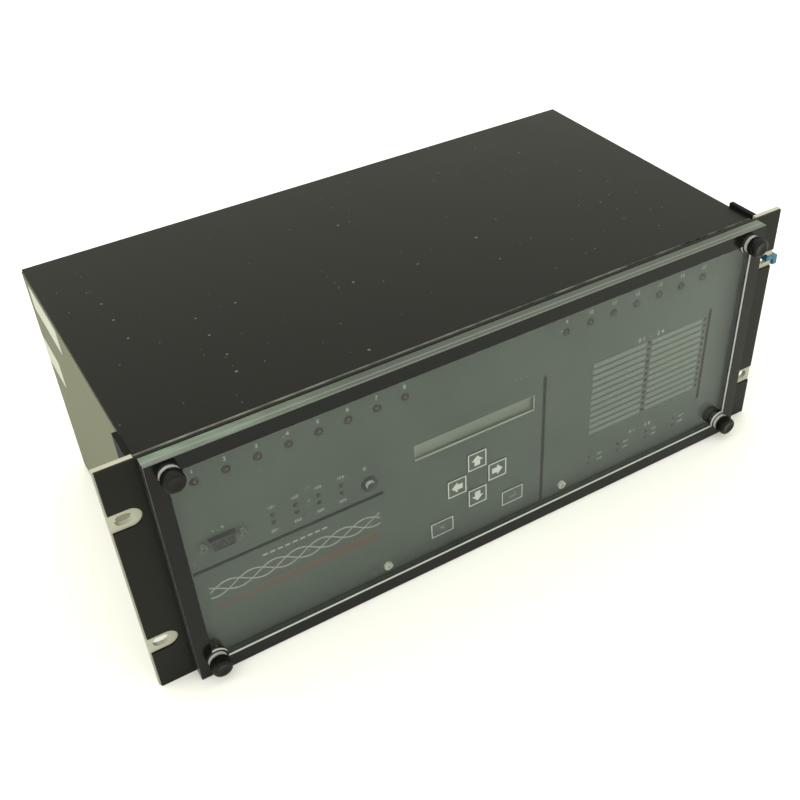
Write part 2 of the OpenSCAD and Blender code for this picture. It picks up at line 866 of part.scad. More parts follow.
module com_jack_posts() {
    color("silver") for (s = [-1, 1]) {
        at = [com_x + s * jack_span / 2, com_z];
        difference() {
            union() {
                translate([at[0], panel_front, at[1]]) rotate([90, 0, 0])
                    cylinder(h = jack_head_l, r = jack_head_r, $fn = 6);
                rod(at, panel_front, panel_back + jack_tail, jack_r);
            }
            rod(at, panel_front - jack_head_l - cut_over, panel_front, jack_r - jack_wall);
        }
    }
}

// Reset button
module reset_bush() {
    at = [reset_x, reset_z];
    color([0.1, 0.1, 0.1]) difference() {
        union() {
            rod(at, panel_front - reset_ring_t, panel_front, reset_ring_r);
            rod(at, panel_front, reset_neck_end, reset_neck_r);
        }
        rod(at, panel_front - reset_ring_t - cut_over, reset_neck_end + cut_over, reset_r + slide_gap);
    }
}

module reset_switch() {
    at = [reset_x, reset_z];
    color([0.1, 0.1, 0.12]) difference() {
        plate(reset_neck_end + reset_body_l, reset_body_l) pane(at, [reset_body_w, reset_body_w]);
        rod(at, reset_neck_end - cut_over, reset_bore_end, reset_r + slide_gap);
    }
}

module reset_button() {
    color([0.05, 0.05, 0.05]) rod([reset_x, reset_z], panel_front - reset_rise, reset_end, reset_r);
}

// Dust cover
module cover_outline(inset) {
    translate([-cover_w / 2 + inset, cover_z + inset]) square([cover_w - 2 * inset, cover_h - 2 * inset]);
}

module cover_frame() {
    color([0.04, 0.04, 0.04]) plate(window_front, border_t) difference() {
        union() {
            difference() {
                cover_outline(0);
                cover_outline(border_w);
            }
            at_each(knob_places) circle(corner_pad_r);
        }
        at_each(knob_places) circle(tail_r + fit_gap);
    }
}

module cover_window() {
    color([0.75, 0.82, 0.75, 0.3]) {
        plate(pocket_front, face_t) difference() {
            cover_outline(0);
            at_each(knob_places) circle(tail_r + fit_gap);
        }
        plate(cover_back, cover_back - pocket_front) difference() {
            union() {
                difference() {
                    cover_outline(0);
                    cover_outline(rim_w);
                }
                at_each(knob_places) circle(boss_r);
            }
            at_each(knob_places) circle(tail_r + fit_gap);
        }
    }
}

module cover_collars() {
    color("silver") for (p = knob_places) difference() {
        union() {
            rod(p, collar_front, cover_front, collar_d / 2);
            rod(p, cover_front, pocket_front, tail_r);
        }
        rod(p, collar_front - cut_over, pocket_front + cut_over, stud_r + run_gap);
    }
}

module cover_bushes() {
    color("silver") for (p = knob_places) difference() {
        union() {
            rod(p, panel_front, panel_back + bush_l, bush_r);
            rod(p, panel_back, panel_back + bush_flange_t, bush_flange_r);
        }
        rod(p, panel_front - cut_over, panel_back + bush_l + cut_over, stud_r + run_gap);
    }
}

module thumb_knob(i) {
    p = knob_places[i - 1];
    r = knob_d / 2;
    profile = [[0, 0], [r - knob_edge, 0], [r, knob_edge], [r, knob_l - knob_edge], [r - knob_edge, knob_l],
        [0, knob_l]];
    color([0.05, 0.05, 0.05]) translate([p[0], knob_back, p[1]]) rotate([90, 0, 0]) rotate_extrude()
        difference() {
            polygon(profile);
            translate([0, -cut_over]) square([stud_r + fit_gap, knob_socket + cut_over]);
        }
}

module thumb_stud(i) { color("silver") rod(knob_places[i - 1], knob_back - knob_socket, stud_end, stud_r); }

module thumb_knob_1() { thumb_knob(1); }
module thumb_knob_2() { thumb_knob(2); }
module thumb_knob_3() { thumb_knob(3); }
module thumb_knob_4() { thumb_knob(4); }
module thumb_stud_1() { thumb_stud(1); }
module thumb_stud_2() { thumb_stud(2); }
module thumb_stud_3() { thumb_stud(3); }
module thumb_stud_4() { thumb_stud(4); }

// Inside
module processor_board() {
    color("darkgreen")
        block([floor_left[0], floor_front, floor_board_z], [floor_left[1], floor_rear, floor_top]);
}

module chip(at, size) { translate([at[0] - size[0] / 2, at[1] - size[1] / 2, floor_top]) cube(size); }

module processor_parts() {
    middle = [(floor_left[0] + floor_left[1]) / 2, (floor_front + floor_rear) / 2];
    cell = middle + cell_at;
    color([0.1, 0.1, 0.1]) {
        for (c = chips) chip(middle + c[0], c[1]);
        chip([hmi_x, ribbon_y], [header_w, header_l, header_h]);
        translate([cell[0], cell[1], floor_top]) cylinder(h = cell_h, r = cell_r);
    }
}

module power_board() {
    color("darkgreen")
        block([floor_right[0], floor_front, floor_board_z], [floor_right[1], floor_rear, floor_top]);
}

module power_parts() {
    edge = [(floor_right[0] + floor_right[1]) / 2, floor_front];
    fin_pitch = (sink[0] - fin_t) / (fin_n - 1);
    color([0.2, 0.2, 0.22]) {
        chip(edge + power_box_at, power_box);
        for (i = [0 : can_n - 1]) translate(concat(edge + can_at + [i * can_pitch, 0], floor_top))
            cylinder(h = can_h, r = can_r);
        translate(concat(edge + sink_at, floor_top)) {
            cube(sink);
            for (i = [0 : fin_n - 1]) translate([i * fin_pitch, 0, sink[2]]) cube([fin_t, sink[1], fin_h]);
        }
    }
}

module relay_board() {
    color("darkgreen") block([-relay_half, relay_front, relay_low], [relay_half, relay_back, relay_high]);
}

module row_of_boxes(n, pitch, size, z) {
    first = -(n - 1) / 2 * pitch - size[0] / 2;
    for (i = [0 : n - 1]) translate([first + i * pitch, relay_front - size[1], z - size[2] / 2]) cube(size);
}

module output_relays() { color([0.15, 0.15, 0.18]) row_of_boxes(relay_n, relay_pitch, relay_box, relay_z); }

module input_transformers() {
    color([0.3, 0.22, 0.12]) row_of_boxes(coil_n, coil_pitch, [coil_w, coil_d, coil_h], coil_z);
}

module front_post(at) { rod(at, panel_back, board_front, post_r); }

module upright_post(at) { translate([at[0], at[1], sheet_t]) cylinder(h = floor_gap, r = post_r); }

module board_posts() {
    color("silver") {
        for (row = [left_row, right_row])
            for (x = [row[0][0] - board_end + post_in, row[len(row) - 1][0] + board_end - post_in])
                front_post([x, row_z]);
        for (x = [status_x - status_board_end + post_in, status_last_x + status_board_end - post_in])
            front_post([x, status_z]);
        for (s = [-1, 1]) for (z = [up_at[1], low_post_z]) front_post([hmi_x + s * (hmi_half - post_in), z]);
        for (x = [target_board_x + post_in, target_board_right - post_in])
            front_post([x, target_board_high - post_in]);
        front_post([target_board_right - post_in, low_post_z]);
        for (ends = [floor_left, floor_right]) for (x = [ends[0] + post_in, ends[1] - post_in])
            for (y = [floor_front + post_in, floor_rear - post_in]) upright_post([x, y]);
        for (s = [-1, 1]) for (z = [relay_low + post_in, relay_high - post_in])
            rod([s * (relay_half - post_in), z], relay_back, rear_inside, post_r);
    }
}

module display_ribbon() {
    color([0.6, 0.6, 0.6]) translate([hmi_x, 0, 0]) across(ribbon_w) {
        translate([board_back + header_l, ribbon_z]) square([ribbon_y - board_back - header_l, ribbon_t]);
        translate([ribbon_y, floor_top + header_h])
            square([ribbon_t, ribbon_z + ribbon_t - floor_top - header_h]);
    }
}

// Rear terminals and ports
module terminal_blocks() {
    color([0.05, 0.05, 0.05]) for (s = [-1, 1]) for (z = row_zs) {
        left = s * block_x - block_l / 2;
        block([left, rear_face, z - block_h / 2], [left + block_l, rear_face + base_d, z + block_h / 2]);
        for (i = [0 : way_n]) block([left + i * way_pitch, rear_face + base_d, z - block_h / 2],
            [left + i * way_pitch + wall_w, rear_face + block_d, z + block_h / 2]);
        plate(rear_face, sheet_t + rear_gap) pane([s * block_x, z], [block_l - 2 * tail_inset, tail_h]);
    }
}

module terminal_screws() {
    face = rear_face + base_d;
    color([0.7, 0.66, 0.5]) for (s = [-1, 1]) for (z = row_zs) for (i = [0 : way_n - 1]) {
        at = [s * block_x - block_l / 2 + wall_w / 2 + (i + 0.5) * way_pitch, z];
        difference() {
            rod(at, face, face + terminal_t, terminal_r);
            translate([at[0], face + terminal_t, at[1]])
                cube([2 * terminal_r + cut_over, terminal_slot, terminal_slot], center = true);
        }
    }
}

module rear_ports() {
    coax_at = [coax_x, port_z];
    coax_end = rear_face + coax_l;
    coax_mouth = rear_face + coax_flange_t;
    color("silver") {
        for (x = port_xs) translate([x, 0, port_z]) {
            plate(rear_face + d_flange_t, d_flange_t) square(d_flange, center = true);
            difference() {
                plate(rear_face + rear_d_rise, rear_d_rise + d_body_l) d_outline(d_w, d_h);
                contact_holes(rear_face + rear_d_rise - pin_depth, rear_face + rear_d_rise + cut_over);
            }
        }
        difference() {
            union() {
                rod(coax_at, rear_inside - coax_tail, coax_end, coax_r);
                rod(coax_at, rear_face, coax_mouth, coax_flange_r);
                translate([coax_x, coax_end - 2 * coax_lug_r, port_z])
                    cylinder(h = 2 * (coax_r + coax_lug_l), r = coax_lug_r, center = true);
            }
            rod(coax_at, coax_mouth, coax_end + cut_over, coax_r - coax_wall);
        }
        rod(coax_at, coax_mouth, coax_end - coax_lug_r, coax_core_r);
    }
}

module ground_stud() {
    at = [ground_x, port_z];
    color([0.72, 0.6, 0.3]) {
        rod(at, rear_inside - ground_tail, rear_face + ground_hex_l + ground_l, ground_r);
        translate([at[0], rear_face + ground_hex_l, at[1]]) rotate([90, 0, 0])
            cylinder(h = ground_hex_l, r = ground_hex_r, $fn = 6);
    }
}

left_side();
right_side();
bottom_cover();
top_cover();
rear_panel();
rack_ear_left();
rack_ear_right();
front_panel();
case_screws();
ear_screws();
row_leds();
status_leds();
target_leds();
target_labels();
lcd_lens();
lcd_module();
hmi_board();
key_switches();
led_boards();
status_board();
target_board();
com_shell();
com_insert();
com_jack_posts();
panel_screws();
cover_bushes();
reset_bush();
reset_switch();
cover_frame();
cover_window();
cover_collars();
thumb_knob_1();
thumb_knob_2();
thumb_knob_3();
thumb_knob_4();
thumb_stud_1();
thumb_stud_2();
thumb_stud_3();
thumb_stud_4();
key_up();
key_down();
key_left();
key_right();
key_enter();
key_exit();
reset_button();
processor_board();
processor_parts();
relay_board();
output_relays();
input_transformers();
power_board();
power_parts();
board_posts();
display_ribbon();
terminal_blocks();
terminal_screws();
rear_ports();
ground_stud();
tag_tie();
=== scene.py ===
"""Looks of a rack-mounted protection relay: paint, print, keys, thumb screws, clear cover and stage."""

from math import atan2, pi, radians, sin

import bmesh
import bpy
from bpy.props import FloatProperty, FloatVectorProperty, IntProperty, PointerProperty
from bpy.types import Operator, Panel, PropertyGroup
from mathutils import Matrix, Vector


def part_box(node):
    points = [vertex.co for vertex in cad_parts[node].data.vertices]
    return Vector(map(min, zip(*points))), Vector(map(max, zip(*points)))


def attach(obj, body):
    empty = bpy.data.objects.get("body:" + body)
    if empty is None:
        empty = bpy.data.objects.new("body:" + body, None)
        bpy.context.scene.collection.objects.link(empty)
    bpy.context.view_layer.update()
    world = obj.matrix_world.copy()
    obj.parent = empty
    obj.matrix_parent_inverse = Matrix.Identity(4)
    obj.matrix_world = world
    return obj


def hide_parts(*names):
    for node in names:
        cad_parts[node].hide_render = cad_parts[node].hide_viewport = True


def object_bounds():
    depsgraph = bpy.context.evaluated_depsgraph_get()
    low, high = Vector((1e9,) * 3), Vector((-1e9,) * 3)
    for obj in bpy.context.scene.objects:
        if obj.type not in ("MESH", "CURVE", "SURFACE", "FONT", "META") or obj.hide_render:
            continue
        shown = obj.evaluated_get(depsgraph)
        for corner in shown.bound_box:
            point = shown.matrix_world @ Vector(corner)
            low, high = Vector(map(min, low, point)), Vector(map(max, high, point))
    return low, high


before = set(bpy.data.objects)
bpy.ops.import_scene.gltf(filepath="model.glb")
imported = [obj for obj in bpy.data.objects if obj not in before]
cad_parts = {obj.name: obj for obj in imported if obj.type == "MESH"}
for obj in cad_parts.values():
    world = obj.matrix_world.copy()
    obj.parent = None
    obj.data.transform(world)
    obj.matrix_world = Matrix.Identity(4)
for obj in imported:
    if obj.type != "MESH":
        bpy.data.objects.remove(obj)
CAD_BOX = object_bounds()

bl_info = {
    "name": "Protection Relay Looks",
    "version": (1, 0, 0),
    "blender": (4, 5, 0),
    "location": "3D View > Sidebar > Relay",
    "description": "Finishes a rack-mounted protection relay around its packed model",
    "category": "Object",
}

# Meshes are drawn in millimetres and brought to metres when they are linked.
MM = 0.001
# The way that a printed surface faces
FRONT = 1
REAR = -1

# Thickness of a printed mark and of a paper label, and how close points are joined
PRINT_T = 0.05
PAPER_T = 0.12
MERGE = 0.0005
# Height of a digit as a share of the font's size
DIGIT_SHARE = 0.69
# Key face inside the key's flange, display window inside the lens's edge, and the part of that which is cut
KEY_FLANGE = 0.6
LENS_MARGIN = 2.5
DISPLAY_CUT = 0.95

# Depths that a finish reads, in metres: an outer edge, the overlay's edge inside the clear sheet's, the band along
# the lid's front bend where a pale highlight is painted, the rack ear's flange, the black on the border's face, and
# the pale line along the clear sheet's edge
RIM = 0.0002
OVERLAY_INSET = 0.006
LID_EDGE = 0.0009
EAR_FLANGE = 0.0032
BORDER_FACE = 0.00012
EDGE_LINE = 0.0026
EDGE_LINE_HALF = 0.0005
# Colours of the panel's overlay, and of the light as an enamelled face gives it back
OVERLAY = (0.049, 0.059, 0.053)
WARM = (1.0, 1.0, 0.92)

# Row indicators: first place and count of each row, their pitch, their height and that of their numbers
ROWS = ((-191.6, 8), (60.4, 7))
ROW_PITCH = 19.05
ROW_Z = 146.5
ROW_NUMBER_Z = 154
# Status indicators: first column, pitch and count, and the heights of their two rows of numbers
STATUS_X = -151.5
STATUS_PITCH = 15.2
STATUS_COUNT = 4
STATUS_NUMBER_ZS = (105.6, 86.6)
# Output indicators: columns, how far right of each its numbers stand, and the heights of the two rows
OUTPUT_XS = (92.5, 116, 142.7, 168.4)
OUTPUT_NUMBER_X = 4.3
OUTPUT_ZS = (26.3, 21.3)
# Other marks: words, place, share of the number height, and how far they are spread
SMALL = 0.72
MARKS = (("1 - 9", -185, 106.3, SMALL, 1.3), ("0", -89.5, 104.5, 1.0, 1.0), ("01 - 24", 134, 114, 1.15, 1.6),
         ("01 - 08", 133, 33.5, 1.0, 1.6))
# Dividing lines: limits across and up
DIVIDERS = (((-205, -78), (78.0, 80.6)), ((186, 188.6), (36, 116)), ((43.8, 46.4), (7, 117.8)))
# Dashes above the waves: start, length, pitch and count of the row, and its limits up
DASH_X = -162
DASH = 3.4
DASH_PITCH = 5.0
DASHES = 9
DASH_Z = (70.2, 71.6)
# Paper labels on the left side: limits along and up, and the radius of their corners
LABELS = (((36.5, 101.5), (151.0, 169.5)), ((71.5, 113.5), (102.0, 123.5)))
LABEL_CORNER = 1.6
# Rear terminals: heights of the number rows and of a number, ways of a block, their pitch, and a block's middle
TERMINAL_NUMBER_ZS = (57.5, 153.5)
TERMINAL_NUMBER = 3.0
TERMINAL_WAYS = 20
WAY_PITCH = 9.5
BLOCK_X = 100.8
# Soft lamp: place and width in metres, and the height of the point that it is aimed at
LAMP_PLACE = (-0.7, -0.5, 1.7)
LAMP_SIZE = 1.8
LAMP_AIM = 0.08
FLOOR_HALF = 6.0
SENSOR_WIDTH = 36.0


class Wire:
    """A shader socket that takes part in sums: each operator adds one Math node."""

    def __init__(self, finish, socket):
        self.finish = finish
        self.socket = socket

    def beside(self, output):
        """Another output of the same node."""
        return Wire(self.finish, self.socket.node.outputs[output])

    def math(self, operation, *values):
        """The result of a Math node on those values."""
        return self.finish.add("ShaderNodeMath", {"operation": operation}, dict(enumerate(values)))

    def __add__(self, other):
        return self.math("ADD", self, other)

    def __sub__(self, other):
        return self.math("SUBTRACT", self, other)

    def __rsub__(self, other):
        return self.math("SUBTRACT", other, self)

    def __mul__(self, other):
        return self.math("MULTIPLY", self, other)

    def __truediv__(self, other):
        return self.math("DIVIDE", self, other)

    def __pow__(self, other):
        return self.math("POWER", self, other)

    def __lt__(self, other):
        return self.math("LESS_THAN", self, other)

    def __gt__(self, other):
        return self.math("GREATER_THAN", self, other)

    def __abs__(self):
        return self.math("ABSOLUTE", self)

    def limited(self):
        """The value held between 0 and 1."""
        return self.math("MINIMUM", self.math("MAXIMUM", self, 0.0), 1.0)

    __radd__ = __add__
    __rmul__ = __mul__


class Finish:
    """A material whose nodes are added one by one around its Principled shader."""

    def __init__(self, name, **sockets):
        self.material = bpy.data.materials.new(name)
        self.material.use_nodes = True
        self.tree = self.material.node_tree
        self.shader = self.tree.nodes["Principled BSDF"]
        self.surface = self.tree.nodes["Material Output"].inputs["Surface"]
        self.set(**sockets)

    def fill(self, socket, value):
        """Links a wire to a socket, or sets the socket to a constant."""
        if isinstance(value, Wire):
            self.tree.links.new(value.socket, socket)
        elif socket.type == "RGBA" and len(value) == 3:
            socket.default_value = (*value, 1.0)
        else:
            socket.default_value = value

    def add(self, kind, settings=None, values=None, output=0):
        """Adds a node with its settings, fills its sockets and returns one of its outputs."""
        node = self.tree.nodes.new(kind)
        for name, value in (settings or {}).items():
            setattr(node, name, value)
        for name, value in (values or {}).items():
            self.fill(node.inputs[name], value)
        return Wire(self, node.outputs[output])

    def set(self, colour=None, roughness=None, metallic=None, gloss=None, tint=None, coat=None):
        """Fills the Principled shader's sockets."""
        given = {"Base Color": colour, "Roughness": roughness, "Metallic": metallic,
                 "Specular IOR Level": gloss, "Specular Tint": tint, "Coat Weight": coat}
        for name, value in given.items():
            if value is not None:
                self.fill(self.shader.inputs[name], value)

    def place(self):
        """The point on the piece, in metres."""
        return self.add("ShaderNodeTexCoord", output="Object")

    def split(self, vector):
        """The three numbers of a vector."""
        x = self.add("ShaderNodeSeparateXYZ", values={0: vector})
        return x, x.beside(1), x.beside(2)

    def normal(self):
        """The three numbers of the face's direction."""
        return self.split(self.add("ShaderNodeNewGeometry", output="True Normal"))

    def noise(self, place, size, detail=2.0):
        """Cloudy noise from 0 to 1 with blotches of that size in metres."""
        return self.add("ShaderNodeTexNoise", None, {"Vector": place, "Scale": 1 / size, "Detail": detail})

    def stretched(self, place, scale):
        """The place scaled along each axis, for streaks."""
        return self.add("ShaderNodeMapping", None, {"Vector": place, "Scale": scale})

    def mix(self, factor, first, second):
        """A colour between two others."""
        return self.add("ShaderNodeMix", {"data_type": "RGBA"}, {0: factor, 6: first, 7: second}, 2)

    def bump(self, height, depth):
        """Raises and sinks the surface by up to that depth in metres."""
        self.fill(self.shader.inputs["Normal"],
                  self.add("ShaderNodeBump", None, {"Height": height, "Distance": depth}))

    def specks(self, across, along, spacing, share, radius):
        """Scattered dots: a share of the cells of a flat grid of that spacing holds a dot."""
        flat = self.add("ShaderNodeCombineXYZ", None, {0: across, 1: along})
        cell = self.add("ShaderNodeTexVoronoi", {"voronoi_dimensions": "2D"},
                        {"Vector": flat, "Scale": 1 / spacing}, "Distance")
        chance = self.add("ShaderNodeSeparateColor", None, {0: cell.beside("Color")})
        size = chance.beside(1) * (radius / spacing)
        return (cell < size) * (chance < share)

    def blend(self, factor, first, second):
        """Mixes two shaders and shows the result."""
        mixed = self.add("ShaderNodeMixShader", None, {0: factor, 1: first, 2: second})
        self.fill(self.surface, mixed)
        return mixed


def look(group):
    """A group of the scene's settings."""
    return getattr(bpy.context.scene, group)


def coat(finish, *nodes):
    """Gives CAD nodes a finish."""
    for node in nodes:
        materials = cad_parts[node].data.materials
        materials.clear()
        materials.append(finish.material)


def span(node):
    """Lowest and highest corner of a CAD node, in millimetres."""
    low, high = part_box(node)
    return low / MM, high / MM


def tile(bm, x, y, z):
    """A box from three pairs of limits."""
    size = [high - low for low, high in (x, y, z)]
    middle = [(high + low) / 2 for low, high in (x, y, z)]
    bmesh.ops.create_cube(bm, size=1.0, matrix=Matrix.Translation(middle) @ Matrix.Diagonal((*size, 1)))


def plate(bm, outline, back, front):
    """A plate with an outline of x and z points, from one depth to another."""
    face = bm.faces.new([bm.verts.new((x, back, z)) for x, z in outline])
    grown = bmesh.ops.extrude_face_region(bm, geom=[face])["geom"]
    moved = [v for v in grown if isinstance(v, bmesh.types.BMVert)]
    bmesh.ops.translate(bm, vec=(0, front - back, 0), verts=moved)


def outline_frame(bm, x, z, back, line):
    """A printed line round the inside of a rectangle."""
    front = back - PRINT_T
    tile(bm, x, (front, back), (z[0], z[0] + line))
    tile(bm, x, (front, back), (z[1] - line, z[1]))
    tile(bm, (x[0], x[0] + line), (front, back), (z[0] + line, z[1] - line))
    tile(bm, (x[1] - line, x[1]), (front, back), (z[0] + line, z[1] - line))


def number(bm, words, x, z, surface, height, facing=FRONT, spread=1.0):
    """A printed number, standing on a surface that faces the front or the rear. A heading is spread out."""
    curve = bpy.data.curves.new("number", "FONT")
    curve.body = words
    curve.align_x = curve.align_y = "CENTER"
    curve.size = height / DIGIT_SHARE
    curve.space_character = spread
    curve.extrude = PRINT_T / 2
    curve.resolution_u = 3
    holder = bpy.data.objects.new("number", curve)
    mesh = bpy.data.meshes.new_from_object(holder)
    turn = Matrix.Rotation(0 if facing == FRONT else pi, 4, "Z") @ Matrix.Rotation(pi / 2, 4, "X")
    mesh.transform(Matrix.Translation((x, surface - facing * PRINT_T / 2, z)) @ turn)
    bm.from_mesh(mesh)
    bpy.data.objects.remove(holder)
    bpy.data.curves.remove(curve)
    bpy.data.meshes.remove(mesh)


def ring(bm, x, z, profile, steps):
    """Spins a profile of radius and depth points round an axis along the depth."""
    verts = [bm.verts.new((x + r, y, z)) for r, y in profile]
    edges = [bm.edges.new(pair) for pair in zip(verts, verts[1:])]
    bmesh.ops.spin(bm, geom=verts + edges, cent=(x, 0, z), axis=(0, 1, 0), angle=2 * pi, steps=steps,
                   use_merge=True)


def finish_piece(name, bm, finish, body, replaces=(), smooth=None):
    """Links a mesh as a piece that rides on a body."""
    bmesh.ops.remove_doubles(bm, verts=bm.verts, dist=MERGE)
    bmesh.ops.recalc_face_normals(bm, faces=bm.faces)
    bmesh.ops.scale(bm, vec=(MM, MM, MM), verts=bm.verts)
    mesh = bpy.data.meshes.new(name)
    bm.to_mesh(mesh)
    bm.free()
    mesh.materials.append(finish.material)
    if smooth is not None:
        mesh.shade_smooth()
        mesh.set_sharp_from_angle(angle=radians(smooth))
    piece = bpy.data.objects.new(name, mesh)
    bpy.context.scene.collection.objects.link(piece)
    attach(piece, body)
    if replaces:
        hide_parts(*replaces)


def case_enamel(name, colour, roughness, gloss, peel, bend=None):
    """Black enamel with an orange peel of that depth and dust on top. A bend gets a painted highlight along its
    edge.
    """
    enamel = Finish(name, gloss=gloss, tint=WARM)
    place = enamel.place()
    x, y, z = enamel.split(place)
    cloud = enamel.noise(place, 0.05, 4.0)
    up = enamel.normal()[2] > 0.9
    dust = (enamel.specks(x, y, 0.024, 0.3, 0.001) + enamel.specks(x, y, 0.009, 0.12, 0.0005)).limited()
    light = [c * 1.6 + 0.001 for c in colour]
    shade = enamel.mix(dust * up * 0.18, enamel.mix(cloud, colour, light), (0.5, 0.5, 0.48))
    if bend:
        # Painted highlight: a pale line along the lid's front bend, in patches, brightest at the left and fading to
        # the right.
        edge = (y < bend[0]) * (z > bend[1])
        bend_highlight = (enamel.noise(place, 0.012, 3.0) * 1.6 - 0.3 - x * 1.2).limited()
        shade = enamel.mix(edge * bend_highlight * 0.6, shade, (0.38, 0.4, 0.35))
    enamel.set(colour=shade, roughness=cloud * 0.1 + (roughness - 0.05))
    enamel.bump(enamel.noise(place, 0.0012, 1.0), peel)
    return enamel


def inside(finish, node, inset):
    """One inside a node's outline as seen from the front, less an inset in metres, and nought outside it."""
    low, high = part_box(node)
    x, z = finish.split(finish.place())[::2]
    return (x > low.x + inset) * (x < high.x - inset) * (z > low.z + inset) * (z < high.z - inset)


def plain_plastic(name, colour, roughness, gloss=0.4):
    """Moulded plastic with a faint grain and a slight change of shade."""
    plastic = Finish(name, gloss=gloss)
    place = plastic.place()
    cloud = plastic.noise(place, 0.006, 3.0)
    light = [c * 1.35 + 0.001 for c in colour]
    plastic.set(colour=plastic.mix(cloud, colour, light), roughness=cloud * 0.14 + (roughness - 0.07))
    plastic.bump(plastic.noise(place, 0.0004, 1.0), 0.000012)
    return plastic


def plated_metal(name, colour, roughness, streak=(1.0, 1.0, 1.0), metallic=1.0):
    """Plated metal with fine tool lines along the axes that the streak keeps small. Satin is less metallic."""
    metal = Finish(name, metallic=metallic)
    place = metal.place()
    lines = metal.noise(metal.stretched(place, streak), 0.0006, 3.0)
    dull = metal.noise(place, 0.004, 3.0)
    dark = [c * 0.72 for c in colour]
    metal.set(colour=metal.mix(dull, dark, colour), roughness=lines * 0.2 + (roughness - 0.1))
    metal.bump(lines, 0.000008)
    return metal


def print_ink(name, colour, wear=0.3):
    """Screen-printed ink, thinner in patches."""
    ink = Finish(name, gloss=0.2)
    place = ink.place()
    patch = (ink.noise(place, 0.0025, 3.0) * 1.5 - 0.35).limited()
    thin = [c * (1 - wear) for c in colour]
    ink.set(colour=ink.mix(patch, thin, colour), roughness=patch * 0.15 + 0.5)
    return ink


class RelayCase(PropertyGroup):
    """Finish of the sheet metal."""
    enamel: FloatVectorProperty(name="Enamel", description="Colour of the black enamel", subtype="COLOR", size=3,
                                min=0.0, max=1.0, default=(0.0042, 0.0043, 0.0038))
    roughness: FloatProperty(name="Enamel roughness", description="How matt the enamel is", subtype="FACTOR",
                             min=0.05, max=1.0, default=0.4)
    chromate: FloatVectorProperty(name="Chromate", description="Colour of the bare rack ears", subtype="COLOR",
                                  size=3, min=0.0, max=1.0, default=(0.41, 0.405, 0.335))
    sheet: FloatVectorProperty(name="Side sheet", description="Colour of the bare side sheets", subtype="COLOR",
                               size=3, min=0.0, max=1.0, default=(0.15, 0.153, 0.104))
    tie: FloatVectorProperty(name="Tie", description="Colour of the nylon tie", subtype="COLOR", size=3, min=0.0,
                             max=1.0, default=(0.016, 0.1, 0.165))


class RelayPrint(PropertyGroup):
    """Printed marks on the panel and keys."""
    white: FloatVectorProperty(name="White ink", description="Colour of the printed marks", subtype="COLOR", size=3,
                               min=0.0, max=1.0, default=(0.57, 0.58, 0.57))
    red: FloatVectorProperty(name="Red ink", description="Colour of the fading band", subtype="COLOR", size=3,
                             min=0.0, max=1.0, default=(0.105, 0.046, 0.031))
    line: FloatProperty(name="Key line", description="Width of the line round a key", unit="LENGTH", min=0.0002,
                        max=0.002, default=0.0008)
    number_height: FloatProperty(name="Number height", description="Height of the indicator numbers",
                                 unit="LENGTH", min=0.001, max=0.006, default=0.0029)


class RelayKnob(PropertyGroup):
    """Shape of the thumb screw heads."""
    flutes: IntProperty(name="Flutes", description="Grooves round a head", min=12, max=60, default=36)
    depth: FloatProperty(name="Flute depth", description="How deep a groove is", unit="LENGTH", min=0.0, max=0.001,
                         default=0.0003)


class RelayCover(PropertyGroup):
    """Finish of the dust cover."""
    tint: FloatVectorProperty(name="Tint", description="Colour of the clear sheet", subtype="COLOR", size=3,
                              min=0.0, max=1.0, default=(0.965, 0.98, 0.965))
    edge: FloatVectorProperty(name="Cut edge", description="Colour of the clear sheet's edge", subtype="COLOR",
                              size=3, min=0.0, max=1.0, default=(0.04, 0.054, 0.041))
    dust: FloatProperty(name="Dust", description="Share of the window's cells that hold a speck", subtype="FACTOR",
                        min=0.0, max=1.0, default=0.25)


class RelayStage(PropertyGroup):
    """Floor, light and camera."""
    floor: FloatVectorProperty(name="Floor", description="Colour of the floor", subtype="COLOR", size=3, min=0.0,
                               max=1.0, default=(0.97, 0.97, 0.96))
    sky: FloatProperty(name="Sky", description="Strength of the even light", min=0.0, max=3.0, default=1.4)
    light: FloatVectorProperty(name="Light", description="Colour of the even light", subtype="COLOR", size=3,
                               min=0.0, max=1.0, default=(1.0, 1.0, 0.88))
    key_power: FloatProperty(name="Key light", description="Power of the large soft lamp", unit="POWER", min=0.0,
                             max=200.0, default=7.0)
    camera: FloatVectorProperty(name="Camera", description="Place of the camera", subtype="TRANSLATION",
                                unit="LENGTH", size=3, default=(-0.2875, -0.5474, 0.5323))
    turn: FloatVectorProperty(name="Camera turn", description="Turn of the camera", subtype="EULER", size=3,
                              default=(radians(50.645), radians(2.350), radians(-31.032)))
    lens: FloatProperty(name="Lens", description="Focal length of the camera in millimetres", min=10.0, max=200.0,
                        default=47.33)
    shift: FloatVectorProperty(name="Shift", description="Shift of the picture in the frame", size=2,
                               default=(-0.0284, 0.0187))


